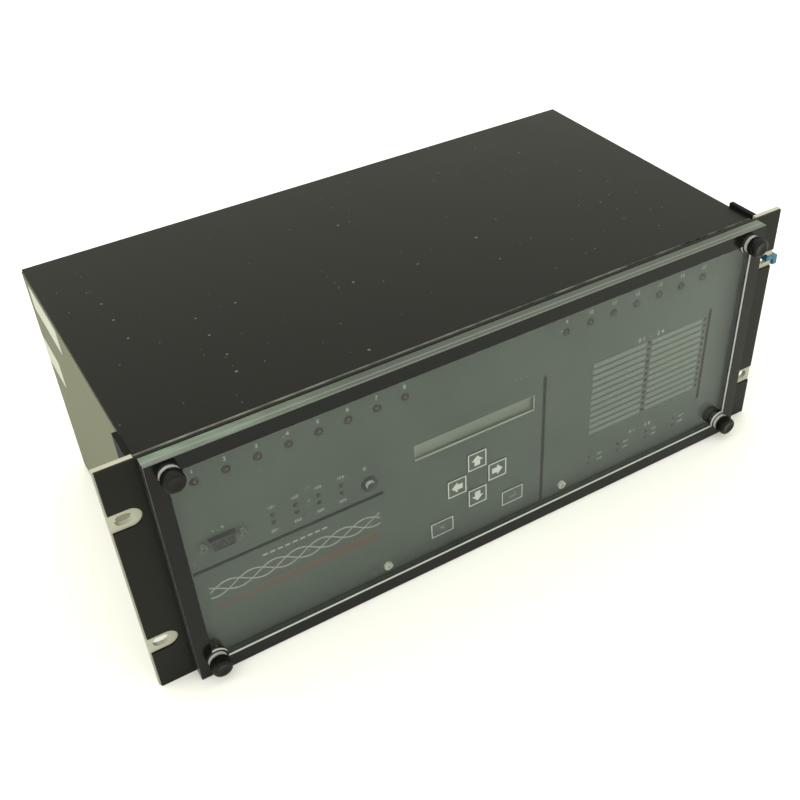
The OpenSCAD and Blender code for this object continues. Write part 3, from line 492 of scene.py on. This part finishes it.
class RELAY_OT_paint_case(Operator):
    """Paints the sheet metal, the rack ears, the case screws and the tie"""
    bl_idname = "relay.paint_case"
    bl_label = "Paint Case"

    def execute(self, context):
        case = look("relay_case")
        enamel = tuple(case.enamel)
        lid_low, lid_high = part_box("top_cover")
        coat(self.side_metal(tuple(case.sheet)), "left_side", "right_side")
        coat(case_enamel("case_enamel", enamel, case.roughness, 0.14, 0.00002), "bottom_cover", "rear_panel")
        coat(case_enamel("lid_enamel", enamel, case.roughness, 0.105, 0.00002,
                         (lid_low.y + LID_EDGE, lid_high.z - LID_EDGE)), "top_cover")
        coat(self.ear_metal(enamel, tuple(case.chromate)), "rack_ear_left", "rack_ear_right")
        coat(plated_metal("black_oxide", (0.06, 0.06, 0.06), 0.45), "case_screws", "ear_screws")
        coat(plain_plastic("tie_nylon", tuple(case.tie), 0.35), "tag_tie")
        return {"FINISHED"}

    def side_metal(self, sheet):
        """Dull chromate with the faint long lines of rolled sheet and a few rubbed patches."""
        metal = Finish("side_metal", gloss=0.08)
        place = metal.place()
        rolled = metal.noise(metal.stretched(place, (1.0, 0.04, 1.0)), 0.0015, 3.0)
        patch = metal.noise(place, 0.035, 4.0)
        tone = (rolled * 0.35 + patch * 0.65).limited()
        metal.set(colour=metal.mix(tone, [c * 0.86 for c in sheet], [c * 1.14 for c in sheet]),
                  roughness=patch * 0.16 + 0.56)
        metal.bump(rolled, 0.000004)
        return metal

    def ear_metal(self, enamel, chromate):
        """Pale chromate on the flange behind the panel, black enamel on the leg along the side."""
        metal = Finish("ear_metal", gloss=0.12)
        place = metal.place()
        depth = metal.split(place)[1]
        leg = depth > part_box("front_panel")[1].y + EAR_FLANGE
        patch = metal.noise(place, 0.008, 4.0)
        pale = metal.mix(patch, [c * 0.8 for c in chromate], [c * 1.1 for c in chromate])
        metal.set(colour=metal.mix(leg, pale, enamel), roughness=patch * 0.2 + leg * 0.25 + 0.35)
        metal.bump(metal.noise(place, 0.0009, 2.0), 0.00002)
        return metal


class RELAY_OT_dress_panel(Operator):
    """Finishes the front panel, its indicators, display, port and reset button"""
    bl_idname = "relay.dress_panel"
    bl_label = "Dress Panel"

    def execute(self, context):
        coat(self.panel_face(), "front_panel")
        coat(self.lamp("row_lamp", (0.028, 0.013, 0.008), (0.075, 0.03, 0.02), 0.35), "row_leds")
        coat(self.lamp("target_lamp", (0.034, 0.021, 0.016), (0.07, 0.042, 0.032), 0.2), "target_leds")
        coat(self.lamp("status_lamp", (0.02, 0.02, 0.01), (0.045, 0.045, 0.02), 0.1), "status_leds")
        coat(self.label_card(), "target_labels")
        coat(self.display(), "lcd_module")
        coat(self.display_lens(), "lcd_lens")
        coat(plated_metal("port_shell", (0.07, 0.07, 0.068), 0.35), "com_shell")
        coat(self.metal_with_shaded_fronts("post_nickel", "com_jack_posts", (0.24, 0.24, 0.23), (0.05, 0.052, 0.047), -RIM),
             "com_jack_posts")
        coat(self.metal_with_shaded_fronts("reset_metal", "reset_button", (0.85, 0.85, 0.82), (0.003, 0.003, 0.003), -RIM),
             "reset_button")
        coat(self.metal_with_shaded_fronts("screw_nickel", "panel_screws", (0.7, 0.7, 0.66), (0.05, 0.05, 0.045), RIM),
             "panel_screws")
        coat(plain_plastic("port_insert", (0.006, 0.006, 0.006), 0.5, 0.2), "com_insert")
        coat(plain_plastic("bush_plastic", (0.012, 0.013, 0.011), 0.35, 0.12), "reset_bush")
        self.lamp_rings()
        self.display_edge_highlight()
        return {"FINISHED"}

    def panel_face(self):
        """Black enamel round a dark grey-green overlay, with cut walls round the display painted pale against shade.
        """
        face = Finish("panel_overlay", gloss=0.12, tint=WARM)
        place = face.place()
        cloud = face.noise(place, 0.05, 4.0)
        grain = face.noise(place, 0.0008, 2.0)
        enamel = face.mix(cloud, (0.006, 0.006, 0.0055), (0.011, 0.011, 0.0095))
        green = [c * 0.88 for c in OVERLAY]
        overlay = face.mix(cloud * 0.6 + grain * 0.4, green, [c * 1.12 for c in OVERLAY])
        shade = face.mix(inside(face, "cover_window", OVERLAY_INSET), enamel, overlay)
        # Cut walls round the display: pale as bare metal, and painted lighter still so that the shade in the recess
        # doesn't show.
        shade = face.mix(inside(face, "lcd_lens", LENS_MARGIN * DISPLAY_CUT * MM), shade, (0.42, 0.46, 0.4))
        face.set(colour=shade, roughness=cloud * 0.1 + 0.33)
        face.bump(grain, 0.000003)
        return face

    def metal_with_shaded_fronts(self, name, node, bright, dark, sunk):
        """Bright metal with painted shade: front faces so far behind its foremost point are dark."""
        metal = Finish(name, metallic=0.25)
        place = metal.place()
        depth = metal.split(place)[1]
        # Painted shade: faces behind that depth that look to the front or back take the dark colour, for the dark
        # that post and button fronts reflect and the shade in the screws' slots.
        face = (abs(metal.normal()[1]) > 0.5) * (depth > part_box(node)[0].y + sunk)
        dull = metal.noise(place, 0.002, 3.0)
        clean = metal.mix(dull, [c * 0.8 for c in bright], bright)
        metal.set(colour=metal.mix(face, clean, dark), roughness=dull * 0.2 + face * 0.1 + 0.18)
        return metal

    def lamp(self, name, deep, bright, wet):
        """A tinted lens of uneven depth, as wet as its clear coat."""
        lamp = Finish(name, gloss=0.1 + wet * 0.65, coat=wet)
        place = lamp.place()
        cloud = lamp.noise(place, 0.0012, 2.0)
        lamp.set(colour=lamp.mix(cloud, deep, bright), roughness=cloud * 0.15 + 0.15)
        return lamp

    def label_card(self):
        """Muted paper strips with a faint weave."""
        card = Finish("label_card", gloss=0.2)
        place = card.place()
        streak = card.noise(card.stretched(place, (0.15, 1.0, 1.0)), 0.0015, 3.0)
        card.set(colour=card.mix(streak, (0.097, 0.112, 0.103), (0.147, 0.166, 0.154)),
                 roughness=streak * 0.2 + 0.5)
        card.bump(card.noise(place, 0.0008, 1.0), 0.00001)
        return card

    def display(self):
        """Grey-green liquid crystal, lighter towards its upper left."""
        glass = Finish("liquid_crystal", gloss=0.4)
        place = glass.place()
        x, z = glass.split(place)[::2]
        low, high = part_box("lcd_lens")
        along = ((x - low.x) / (high.x - low.x)).limited()
        up = ((z - low.z) / (high.z - low.z)).limited()
        cloud = glass.noise(place, 0.02, 2.0)
        # Painted light: the crystal is lighter towards the top and the left, where the light falls, with cloudy
        # patches.
        lighter_share = (up * 0.7 - along * 0.25 + cloud * 0.4).limited()
        glass.set(colour=glass.mix(lighter_share, (0.096, 0.105, 0.094), (0.187, 0.196, 0.177)),
                  roughness=cloud * 0.1 + 0.3)
        return glass

    def display_lens(self):
        """Clear plastic over the display."""
        lens = Finish("display_lens", colour=(1.0, 1.0, 1.0), metallic=1.0, roughness=0.06)
        facing = lens.add("ShaderNodeLayerWeight", None, {"Blend": 0.5}, "Facing")
        clear = lens.add("ShaderNodeBsdfTransparent", None, {"Color": (0.95, 0.97, 0.94)})
        lens.blend(facing ** 5 * 0.96 + 0.03, clear, Wire(lens, lens.shader.outputs[0]))
        return lens

    def lamp_rings(self):
        """A small dark collar round each row indicator."""
        bm = bmesh.new()
        surface = span("front_panel")[0].y
        inner, outer, rise = 1.55, 2.9, 0.55
        profile = ((outer, surface), (outer, surface - rise * 0.6), (outer - 0.25, surface - rise),
                   (inner + 0.15, surface - rise), (inner, surface - rise * 0.7), (inner, surface))
        for start, count in ROWS:
            for i in range(count):
                ring(bm, start + i * ROW_PITCH, ROW_Z, profile + profile[:1], 32)
        finish_piece("lamp_rings", bm, plain_plastic("ring_plastic", (0.006, 0.006, 0.0055), 0.35, 0.15), "chassis",
                     smooth=40)

    def display_edge_highlight(self):
        """A thin pale strip along the lower and right edges of the display, a painted highlight on the edges that
        face the light.
        """
        bm = bmesh.new()
        surface = span("front_panel")[0].y
        low, high = span("lcd_lens")
        lip, rise = 0.3, 0.12
        x = (low.x + LENS_MARGIN, high.x - LENS_MARGIN)
        z = (low.z + LENS_MARGIN, high.z - LENS_MARGIN)
        # Painted highlight: pale print along the lower and right edges only, the ones that face the light.
        tile(bm, x, (surface - rise, surface), (z[0] - lip, z[0]))
        tile(bm, (x[1], x[1] + lip), (surface - rise, surface), (z[0] - lip, z[1]))
        finish_piece("display_highlight_strip", bm, print_ink("edge_highlight_ink", (0.135, 0.148, 0.132)), "chassis")


class RELAY_OT_print_panel(Operator):
    """Prints the numbers, dividing lines, waves and red band on the front panel"""
    bl_idname = "relay.print_panel"
    bl_label = "Print Panel"

    def execute(self, context):
        ink = look("relay_print")
        self.surface = span("front_panel")[0].y
        self.numbers(ink.number_height / MM, print_ink("number_ink", tuple(c * 0.72 for c in ink.white)))
        self.waves(print_ink("wave_ink", tuple(c * 0.5 for c in ink.white)))
        self.dividers()
        self.band(tuple(ink.red))
        return {"FINISHED"}

    def numbers(self, height, finish):
        """Plain numbers beside the indicators, port, button and outputs."""
        bm = bmesh.new()
        marks = [(str(first + i), start + i * ROW_PITCH, ROW_NUMBER_Z, height, 1.0)
                 for first, (start, count) in zip((1, 9), ROWS) for i in range(count)]
        small = height * SMALL
        for row, z in enumerate(STATUS_NUMBER_ZS):
            marks += [(str(100 * (row + 1) + i + 1), STATUS_X + i * STATUS_PITCH, z, small, 1.15)
                      for i in range(STATUS_COUNT)]
        for row, z in enumerate(OUTPUT_ZS):
            marks += [(str(301 + 2 * i + row), x + OUTPUT_NUMBER_X, z, small, 1.15) for i, x in enumerate(OUTPUT_XS)]
        marks += [(words, x, z, height * share, spread) for words, x, z, share, spread in MARKS]
        for words, x, z, size, spread in marks:
            number(bm, words, x, z, self.surface, size, spread=spread)
        finish_piece("panel_numbers", bm, finish, "chassis")

    def waves(self, finish):
        """Three even waves, a third of a turn apart, and a row of dashes above them."""
        bm = bmesh.new()
        left, right, middle, swing, thick = -198.0, -82.0, 59.0, 5.0, 1.1
        steps, turns = 96, 2.5
        for phase in range(3):
            upper = [(left + (right - left) * i / steps,
                      middle + swing * sin(2 * pi * (turns * i / steps + phase / 3)) + thick / 2)
                     for i in range(steps + 1)]
            lower = [(x, z - thick) for x, z in reversed(upper)]
            plate(bm, upper + lower, self.surface, self.surface - PRINT_T)
        for i in range(DASHES):
            start = DASH_X + i * DASH_PITCH
            tile(bm, (start, start + DASH), (self.surface - PRINT_T, self.surface), DASH_Z)
        finish_piece("panel_waves", bm, finish, "chassis")

    def dividers(self):
        """Dull black lines that part the panel's fields."""
        bm = bmesh.new()
        for x, z in DIVIDERS:
            tile(bm, x, (self.surface - PRINT_T, self.surface), z)
        dull = Finish("divider_black", gloss=0.0)
        cloud = dull.noise(dull.place(), 0.004, 2.0)
        dull.set(colour=dull.mix(cloud, (0.003, 0.004, 0.0035), (0.007, 0.008, 0.007)), roughness=cloud * 0.1 + 0.85)
        finish_piece("panel_dividers", bm, dull, "chassis")

    def band(self, red):
        """A red band that fades towards the left and at both edges."""
        bm = bmesh.new()
        left, right, middle, half = -198.0, -84.0, 45.0, 4.1
        tile(bm, (left, right), (self.surface - PRINT_T, self.surface), (middle - half, middle + half))
        band = Finish("red_band", gloss=0.12)
        place = band.place()
        x, z = band.split(place)[::2]
        along = ((x - left * MM) / ((right - left) * MM)).limited()
        cloud = band.noise(place, 0.003, 3.0)
        soft = (1.6 - abs(z - middle * MM) * (1.8 / (half * MM))).limited()
        strength = (along * 0.5 + cloud * 0.3 + 0.25).limited() * soft
        band.set(colour=band.mix(strength, OVERLAY, red), roughness=cloud * 0.1 + 0.35)
        finish_piece("panel_band", bm, band, "chassis")


class RELAY_OT_print_keys(Operator):
    """Finishes the six keys and prints their lines, arrows and marks"""
    bl_idname = "relay.print_keys"
    bl_label = "Print Keys"

    def execute(self, context):
        ink = look("relay_print")
        line = ink.line / MM
        plastic = plain_plastic("key_plastic", tuple(c * 0.92 for c in OVERLAY), 0.38, 0.12)
        white = print_ink("key_ink", tuple(ink.white), 0.2)
        faint = print_ink("faint_key_ink", tuple(c * 0.46 for c in ink.white), 0.5)
        for turn, key in enumerate(("up", "left", "down", "right")):
            bm, x, z, face = self.lined_key(key, line)
            self.arrow(bm, (x[0] + x[1]) / 2, (z[0] + z[1]) / 2, face, turn)
            finish_piece(f"{key}_key_print", bm, white, f"{key}_key")
        for key in ("enter", "exit"):
            bm, x, z, face = self.lined_key(key, line * 0.8)
            finish_piece(f"{key}_key_print", bm, white, f"{key}_key")
            self.mark(key, (x[0] + x[1]) / 2, (z[0] + z[1]) / 2, face, faint)
        coat(plastic, *(f"key_{key}" for key in ("up", "down", "left", "right", "enter", "exit")))
        return {"FINISHED"}

    def lined_key(self, key, line):
        """Starts a print with the line round one key, and gives the face that it lies on."""
        low, high = span(f"key_{key}")
        x = (low.x + KEY_FLANGE, high.x - KEY_FLANGE)
        z = (low.z + KEY_FLANGE, high.z - KEY_FLANGE)
        bm = bmesh.new()
        outline_frame(bm, x, z, low.y, line)
        return bm, x, z, low.y

    def arrow(self, bm, x, z, face, turn):
        """A solid arrow that points up, turned by quarters against the clock."""
        half, shaft, length, head = 4.5, 2.2, 8.4, 4.4
        tip, foot = length / 2, -length / 2
        shape = [(0, tip), (-half, tip - head), (-shaft, tip - head), (-shaft, foot), (shaft, foot),
                 (shaft, tip - head), (half, tip - head)]
        spin = Matrix.Rotation(turn * pi / 2, 2)
        plate(bm, [(x + p[0], z + p[1]) for p in (spin @ Vector(point) for point in shape)], face, face - PRINT_T)

    def mark(self, key, x, z, face, finish):
        """A faint bent arrow or a cross on a long key."""
        bm = bmesh.new()
        depth = (face - PRINT_T, face)
        if key == "enter":
            stroke, neck, right, foot = 0.8, x - 1.5, x + 3, z - 1.5
            tile(bm, (neck, right), depth, (foot, foot + stroke))
            tile(bm, (right - stroke, right), depth, (foot + stroke, z + 2))
            tip, half, level = x - 3.2, 1.2, foot + stroke / 2
            plate(bm, [(tip, level), (neck, level - half), (neck, level + half)], face, face - PRINT_T)
        else:
            reach, half = 2, 0.5
            for lean in (-reach, reach):
                plate(bm, [(x - lean - half, z - reach), (x - lean + half, z - reach), (x + lean + half, z + reach),
                           (x + lean - half, z + reach)], face, face - PRINT_T)
        finish_piece(f"{key}_key_mark", bm, finish, f"{key}_key")


class RELAY_OT_turn_thumb_screws(Operator):
    """Turns the four fluted heads of the thumb screws"""
    bl_idname = "relay.turn_thumb_screws"
    bl_label = "Turn Thumb Screws"

    def execute(self, context):
        shape = look("relay_knob")
        plastic = plain_plastic("knob_plastic", (0.0045, 0.0045, 0.004), 0.28, 0.15)
        for i in range(1, 5):
            low, high = span(f"thumb_knob_{i}")
            self.head(f"thumb_head_{i}", low, high, shape, plastic, i)
        coat(plated_metal("stud_steel", (0.7, 0.7, 0.68), 0.3), *(f"thumb_stud_{i}" for i in range(1, 5)))
        return {"FINISHED"}

    def head(self, name, low, high, shape, plastic, i):
        """A head with a rounded, dished face and straight flutes round its grip."""
        radius = (high.x - low.x) / 2
        x, z = (low.x + high.x) / 2, (low.z + high.z) / 2
        front, back = low.y, high.y
        grip_front, grip_back, slack = front + 1.4, back - 1.1, 0.1
        profile = [(0, front + 0.3), (radius * 0.5, front + 0.25), (radius * 0.6, front), (radius * 0.82, front),
                   (radius * 0.94, front + 0.5), (radius, grip_front), (radius, grip_back),
                   (radius * 0.94, back - 0.5), (radius * 0.86, back), (0, back)]
        bm = bmesh.new()
        steps = 4 * shape.flutes
        ring(bm, x, z, profile, steps)
        grip = [v for v in bm.verts if grip_front - slack < v.co.y < grip_back + slack
                and round((atan2(v.co.z - z, v.co.x - x) + pi) / (2 * pi / steps)) % 4 < 2]
        share = 1 - shape.depth / MM / radius
        bmesh.ops.scale(bm, vec=(share, 1, share), space=Matrix.Translation((-x, 0, -z)), verts=grip)
        finish_piece(name, bm, plastic, f"thumb_screw_{i}", (f"thumb_knob_{i}",), 35)


class RELAY_OT_clear_cover(Operator):
    """Finishes the dust cover's border, clear window and bright collars"""
    bl_idname = "relay.clear_cover"
    bl_label = "Clear Cover"

    def execute(self, context):
        cover = look("relay_cover")
        coat(self.border(), "cover_frame")
        coat(self.window(tuple(cover.tint), tuple(cover.edge), cover.dust), "cover_window")
        coat(plated_metal("collar_nickel", (0.9, 0.9, 0.88), 0.22, (1.0, 0.1, 1.0), 0.5), "cover_collars")
        return {"FINISHED"}

    def border(self):
        """Gloss black on the front and pale, sawn acrylic on the cut edges, with painted shade low on the outer
        sides.
        """
        gloss = Finish("gloss_border", gloss=0.165, tint=(1.0, 1.0, 0.96))
        place = gloss.place()
        low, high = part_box("cover_frame")
        y, z = gloss.split(place)[1:]
        cut = y > low.y + BORDER_FACE
        smear = gloss.noise(place, 0.03, 4.0)
        saw = gloss.noise(gloss.stretched(place, (1.0, 0.2, 1.0)), 0.0012, 2.0)
        inner = gloss.mix(saw, (0.46, 0.48, 0.46), (0.62, 0.63, 0.6))
        top = gloss.mix(saw, (0.08, 0.092, 0.082), (0.15, 0.165, 0.15))
        rise = ((z - low.z) / (high.z - low.z)).limited()
        # Painted light and shade: the outer side edges are dark at the bottom and grow lighter towards the top.
        shaded_flank = gloss.mix(rise, (0.05, 0.053, 0.05), (0.2, 0.21, 0.195))
        outer = gloss.mix(z > high.z - RIM, shaded_flank, top)
        pale = gloss.mix(inside(gloss, "cover_frame", RIM), outer, inner)
        black = gloss.mix(smear, (0.004, 0.004, 0.0038), (0.008, 0.008, 0.0075))
        gloss.set(colour=gloss.mix(cut, black, pale), roughness=cut * 0.3 + smear * 0.12 + 0.1)
        return gloss

    def window(self, tint, edge, dust):
        """A clear sheet with a mirror-like skin, dust on its face and pale cut edges, with painted light and shade
        on them.
        """
        clear = Finish("clear_sheet", colour=(0.94, 1.0, 0.98), metallic=1.0, roughness=0.04)
        place = clear.place()
        x, y, z = clear.split(place)
        facing = clear.add("ShaderNodeLayerWeight", None, {"Blend": 0.5}, "Facing")
        through = clear.add("ShaderNodeBsdfTransparent", None, {"Color": tint})
        skin = clear.blend(facing ** 5 * 0.96 + 0.019, through, Wire(clear, clear.shader.outputs[0]))
        low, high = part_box("cover_window")
        face = y < low.y + RIM
        specks = clear.specks(x, z, 0.012, dust, 0.0007) + clear.specks(x, z, 0.004, dust * 0.4, 0.0005)
        smear = (clear.noise(place, 0.05, 4.0) * 1.6 - 0.5).limited()
        grime = clear.add("ShaderNodeBsdfDiffuse", None, {"Color": (0.6, 0.62, 0.55)})
        dusty = clear.blend((specks * 0.22 + smear * 0.03).limited() * face, skin, grime)
        side = abs(clear.normal()[1]) < 0.5
        lighter_share = clear.noise(clear.stretched(place, (0.2, 1.0, 0.2)), 0.004, 3.0)
        line = abs(y - (low.y + EDGE_LINE)) < EDGE_LINE_HALF
        # Painted highlight: the pale top edge is made up to 5.4 times lighter towards its left and right.
        left_end, right_end = 0.13, 0.03
        end_highlight = (((low.x + left_end - x) * 9.0).limited() + ((x - high.x + right_end) * 16.0).limited()).limited()
        bright = clear.mix(end_highlight, edge, [c * 5.4 for c in edge])
        pale = clear.mix(line * 0.4, clear.mix(lighter_share, [c * 0.6 for c in edge], bright), (0.22, 0.25, 0.215))
        # Painted shade: only the top cut edge keeps the pale colour; the other cut edges are painted dark.
        lit_top_shaded_sides = clear.mix(z > high.z - RIM, (0.028, 0.031, 0.028), pale)
        rim = clear.add("ShaderNodeBsdfPrincipled", None, {"Base Color": lit_top_shaded_sides, "Roughness": lighter_share * 0.2 + 0.25})
        clear.blend(side, dusty, rim)
        return clear


class RELAY_OT_stick_labels(Operator):
    """Sticks two blank paper labels on the left side"""
    bl_idname = "relay.stick_labels"
    bl_label = "Stick Labels"

    def execute(self, context):
        paper = Finish("label_paper", gloss=0.25)
        place = paper.place()
        fibre = paper.noise(place, 0.0015, 4.0)
        stain = paper.noise(place, 0.03, 3.0)
        paper.set(colour=paper.mix(stain, (0.42, 0.43, 0.37), (0.5, 0.51, 0.44)), roughness=fibre * 0.2 + 0.5)
        paper.bump(fibre, 0.00001)
        face = span("left_side")[0].x
        bm = bmesh.new()
        for y, z in LABELS:
            tile(bm, (face - PAPER_T, face), y, z)
        corners = [e for e in bm.edges if abs(e.verts[0].co.x - e.verts[1].co.x) > PAPER_T / 2]
        bmesh.ops.bevel(bm, geom=corners, offset=LABEL_CORNER, segments=4, profile=0.5, affect="EDGES", material=-1)
        finish_piece("side_labels", bm, paper, "chassis")
        return {"FINISHED"}


class RELAY_OT_finish_rear(Operator):
    """Finishes the rear terminals, ports and stud, and prints the terminal numbers"""
    bl_idname = "relay.finish_rear"
    bl_label = "Finish Rear"

    def execute(self, context):
        coat(plain_plastic("terminal_plastic", (0.016, 0.016, 0.017), 0.42), "terminal_blocks")
        coat(plated_metal("terminal_steel", (0.58, 0.57, 0.53), 0.3), "terminal_screws")
        coat(plated_metal("rear_port_steel", (0.52, 0.52, 0.51), 0.3), "rear_ports")
        coat(plated_metal("stud_brass", (0.52, 0.4, 0.18), 0.32), "ground_stud")
        surface = span("rear_panel")[1].y
        bm = bmesh.new()
        first = 1
        for z in TERMINAL_NUMBER_ZS:
            for block in (BLOCK_X, -BLOCK_X):
                for way in range(TERMINAL_WAYS):
                    x = block - (way - (TERMINAL_WAYS - 1) / 2) * WAY_PITCH
                    number(bm, str(first + way), x, z, surface, TERMINAL_NUMBER, REAR)
                first += TERMINAL_WAYS
        ink = print_ink("rear_ink", tuple(look("relay_print").white))
        finish_piece("terminal_numbers", bm, ink, "chassis")
        return {"FINISHED"}


class RELAY_OT_finish_inside(Operator):
    """Finishes the boards and the parts that they carry"""
    bl_idname = "relay.finish_inside"
    bl_label = "Finish Inside"

    def execute(self, context):
        coat(self.board(), "hmi_board", "led_boards", "status_board", "target_board", "processor_board",
             "relay_board", "power_board")
        coat(self.winding(), "input_transformers")
        coat(self.ribbon(), "display_ribbon")
        coat(plated_metal("post_steel", (0.7, 0.7, 0.67), 0.3), "board_posts", "cover_bushes")
        coat(plain_plastic("part_plastic", (0.018, 0.018, 0.02), 0.4), "key_switches", "processor_parts",
             "power_parts", "reset_switch")
        coat(plain_plastic("relay_plastic", (0.03, 0.035, 0.05), 0.3), "output_relays")
        return {"FINISHED"}

    def board(self):
        """Green solder mask over faint tracks."""
        mask = Finish("solder_mask", gloss=0.5)
        place = mask.place()
        tracks = mask.add("ShaderNodeTexBrick", {"offset": 0.5},
                          {"Vector": place, "Scale": 160.0, "Mortar Size": 0.03}, "Fac")
        cloud = mask.noise(place, 0.01, 3.0)
        green = mask.mix(cloud, (0.008, 0.06, 0.025), (0.014, 0.09, 0.035))
        mask.set(colour=mask.mix(tracks * 0.6, green, (0.03, 0.15, 0.05)), roughness=cloud * 0.2 + 0.3)
        mask.bump(tracks, 0.00002)
        return mask

    def winding(self):
        """Varnished tape with the lines of its turns."""
        tape = Finish("winding_tape", gloss=0.4)
        place = tape.place()
        turns = tape.noise(tape.stretched(place, (0.1, 0.1, 1.0)), 0.0012, 2.0)
        tape.set(colour=tape.mix(turns, (0.12, 0.07, 0.025), (0.3, 0.19, 0.08)), roughness=turns * 0.2 + 0.35)
        tape.bump(turns, 0.00008)
        return tape

    def ribbon(self):
        """Grey ribbon cable with the ridges of its wires."""
        cable = Finish("ribbon_grey", gloss=0.3)
        place = cable.place()
        ridge = cable.add("ShaderNodeTexWave", {"bands_direction": "X"}, {"Vector": place, "Scale": 125.0}, "Fac")
        cable.set(colour=cable.mix(ridge, (0.3, 0.3, 0.3), (0.5, 0.5, 0.5)), roughness=ridge * 0.1 + 0.45)
        cable.bump(ridge, 0.0002)
        return cable


class RELAY_OT_set_stage(Operator):
    """Lays the floor, lights the relay and sets the camera"""
    bl_idname = "relay.set_stage"
    bl_label = "Set Stage"

    def execute(self, context):
        stage = look("relay_stage")
        scene = context.scene
        self.floor(tuple(stage.floor))
        self.sky(scene, stage.sky, stage.light)
        self.soft_lamp("key_lamp", LAMP_PLACE, LAMP_SIZE, stage.key_power)
        data = bpy.data.cameras.new("camera")
        data.lens, data.sensor_width = stage.lens, SENSOR_WIDTH
        data.shift_x, data.shift_y = stage.shift
        camera = bpy.data.objects.new("camera", data)
        camera.location, camera.rotation_euler = stage.camera, stage.turn
        scene.collection.objects.link(camera)
        scene.camera = camera
        scene.view_settings.view_transform = "Standard"
        return {"FINISHED"}

    def floor(self, colour):
        """A wide pale sheet under the relay."""
        bm = bmesh.new()
        level = Matrix.Translation((0, 0, CAD_BOX[0][2]))
        bmesh.ops.create_grid(bm, x_segments=8, y_segments=8, size=FLOOR_HALF, matrix=level)
        mesh = bpy.data.meshes.new("floor")
        bm.to_mesh(mesh)
        bm.free()
        pale = Finish("floor_sheet", gloss=0.1, roughness=0.8)
        cloud = pale.noise(pale.place(), 0.4, 2.0)
        pale.set(colour=pale.mix(cloud, [c * 0.985 for c in colour], colour))
        mesh.materials.append(pale.material)
        floor = bpy.data.objects.new("floor", mesh)
        bpy.context.scene.collection.objects.link(floor)

    def sky(self, scene, strength, colour):
        """Even light from all round."""
        scene.world = bpy.data.worlds.new("even_light")
        scene.world.use_nodes = True
        background = scene.world.node_tree.nodes["Background"]
        background.inputs["Color"].default_value = (*colour, 1.0)
        background.inputs["Strength"].default_value = strength

    def soft_lamp(self, name, place, size, power):
        """A large square lamp aimed at the middle of the relay."""
        data = bpy.data.lights.new(name, "AREA")
        data.size, data.energy = size, power
        lamp = bpy.data.objects.new(name, data)
        lamp.location = place
        lamp.rotation_euler = (Vector((0, 0, LAMP_AIM)) - Vector(place)).to_track_quat("-Z", "Y").to_euler()
        bpy.context.scene.collection.objects.link(lamp)


class RELAY_PT_looks(Panel):
    """Lists the steps and settings of the relay's looks"""
    bl_idname = "RELAY_PT_looks"
    bl_label = "Protection Relay"
    bl_space_type = "VIEW_3D"
    bl_region_type = "UI"
    bl_category = "Relay"

    def draw(self, context):
        for step in STEPS:
            self.layout.operator(step.bl_idname)
        for group, kind in GROUPS.items():
            box = self.layout.box()
            for name in kind.__annotations__:
                box.prop(look(group), name)


GROUPS = {"relay_case": RelayCase, "relay_print": RelayPrint, "relay_knob": RelayKnob, "relay_cover": RelayCover,
          "relay_stage": RelayStage}
STEPS = (RELAY_OT_paint_case, RELAY_OT_dress_panel, RELAY_OT_print_panel, RELAY_OT_print_keys,
         RELAY_OT_turn_thumb_screws, RELAY_OT_clear_cover, RELAY_OT_stick_labels, RELAY_OT_finish_rear,
         RELAY_OT_finish_inside, RELAY_OT_set_stage)


def register():
    for kind in (*GROUPS.values(), *STEPS, RELAY_PT_looks):
        bpy.utils.register_class(kind)
    for group, kind in GROUPS.items():
        setattr(bpy.types.Scene, group, PointerProperty(type=kind))


def unregister():
    for group in GROUPS:
        delattr(bpy.types.Scene, group)
    for kind in reversed((*GROUPS.values(), *STEPS, RELAY_PT_looks)):
        bpy.utils.unregister_class(kind)


def main():
    """Runs every step in order."""
    register()
    relay = bpy.ops.relay
    relay.paint_case()
    relay.dress_panel()
    relay.print_panel()
    relay.print_keys()
    relay.turn_thumb_screws()
    relay.clear_cover()
    relay.stick_labels()
    relay.finish_rear()
    relay.finish_inside()
    relay.set_stage()


if __name__ == "__main__":
    main()
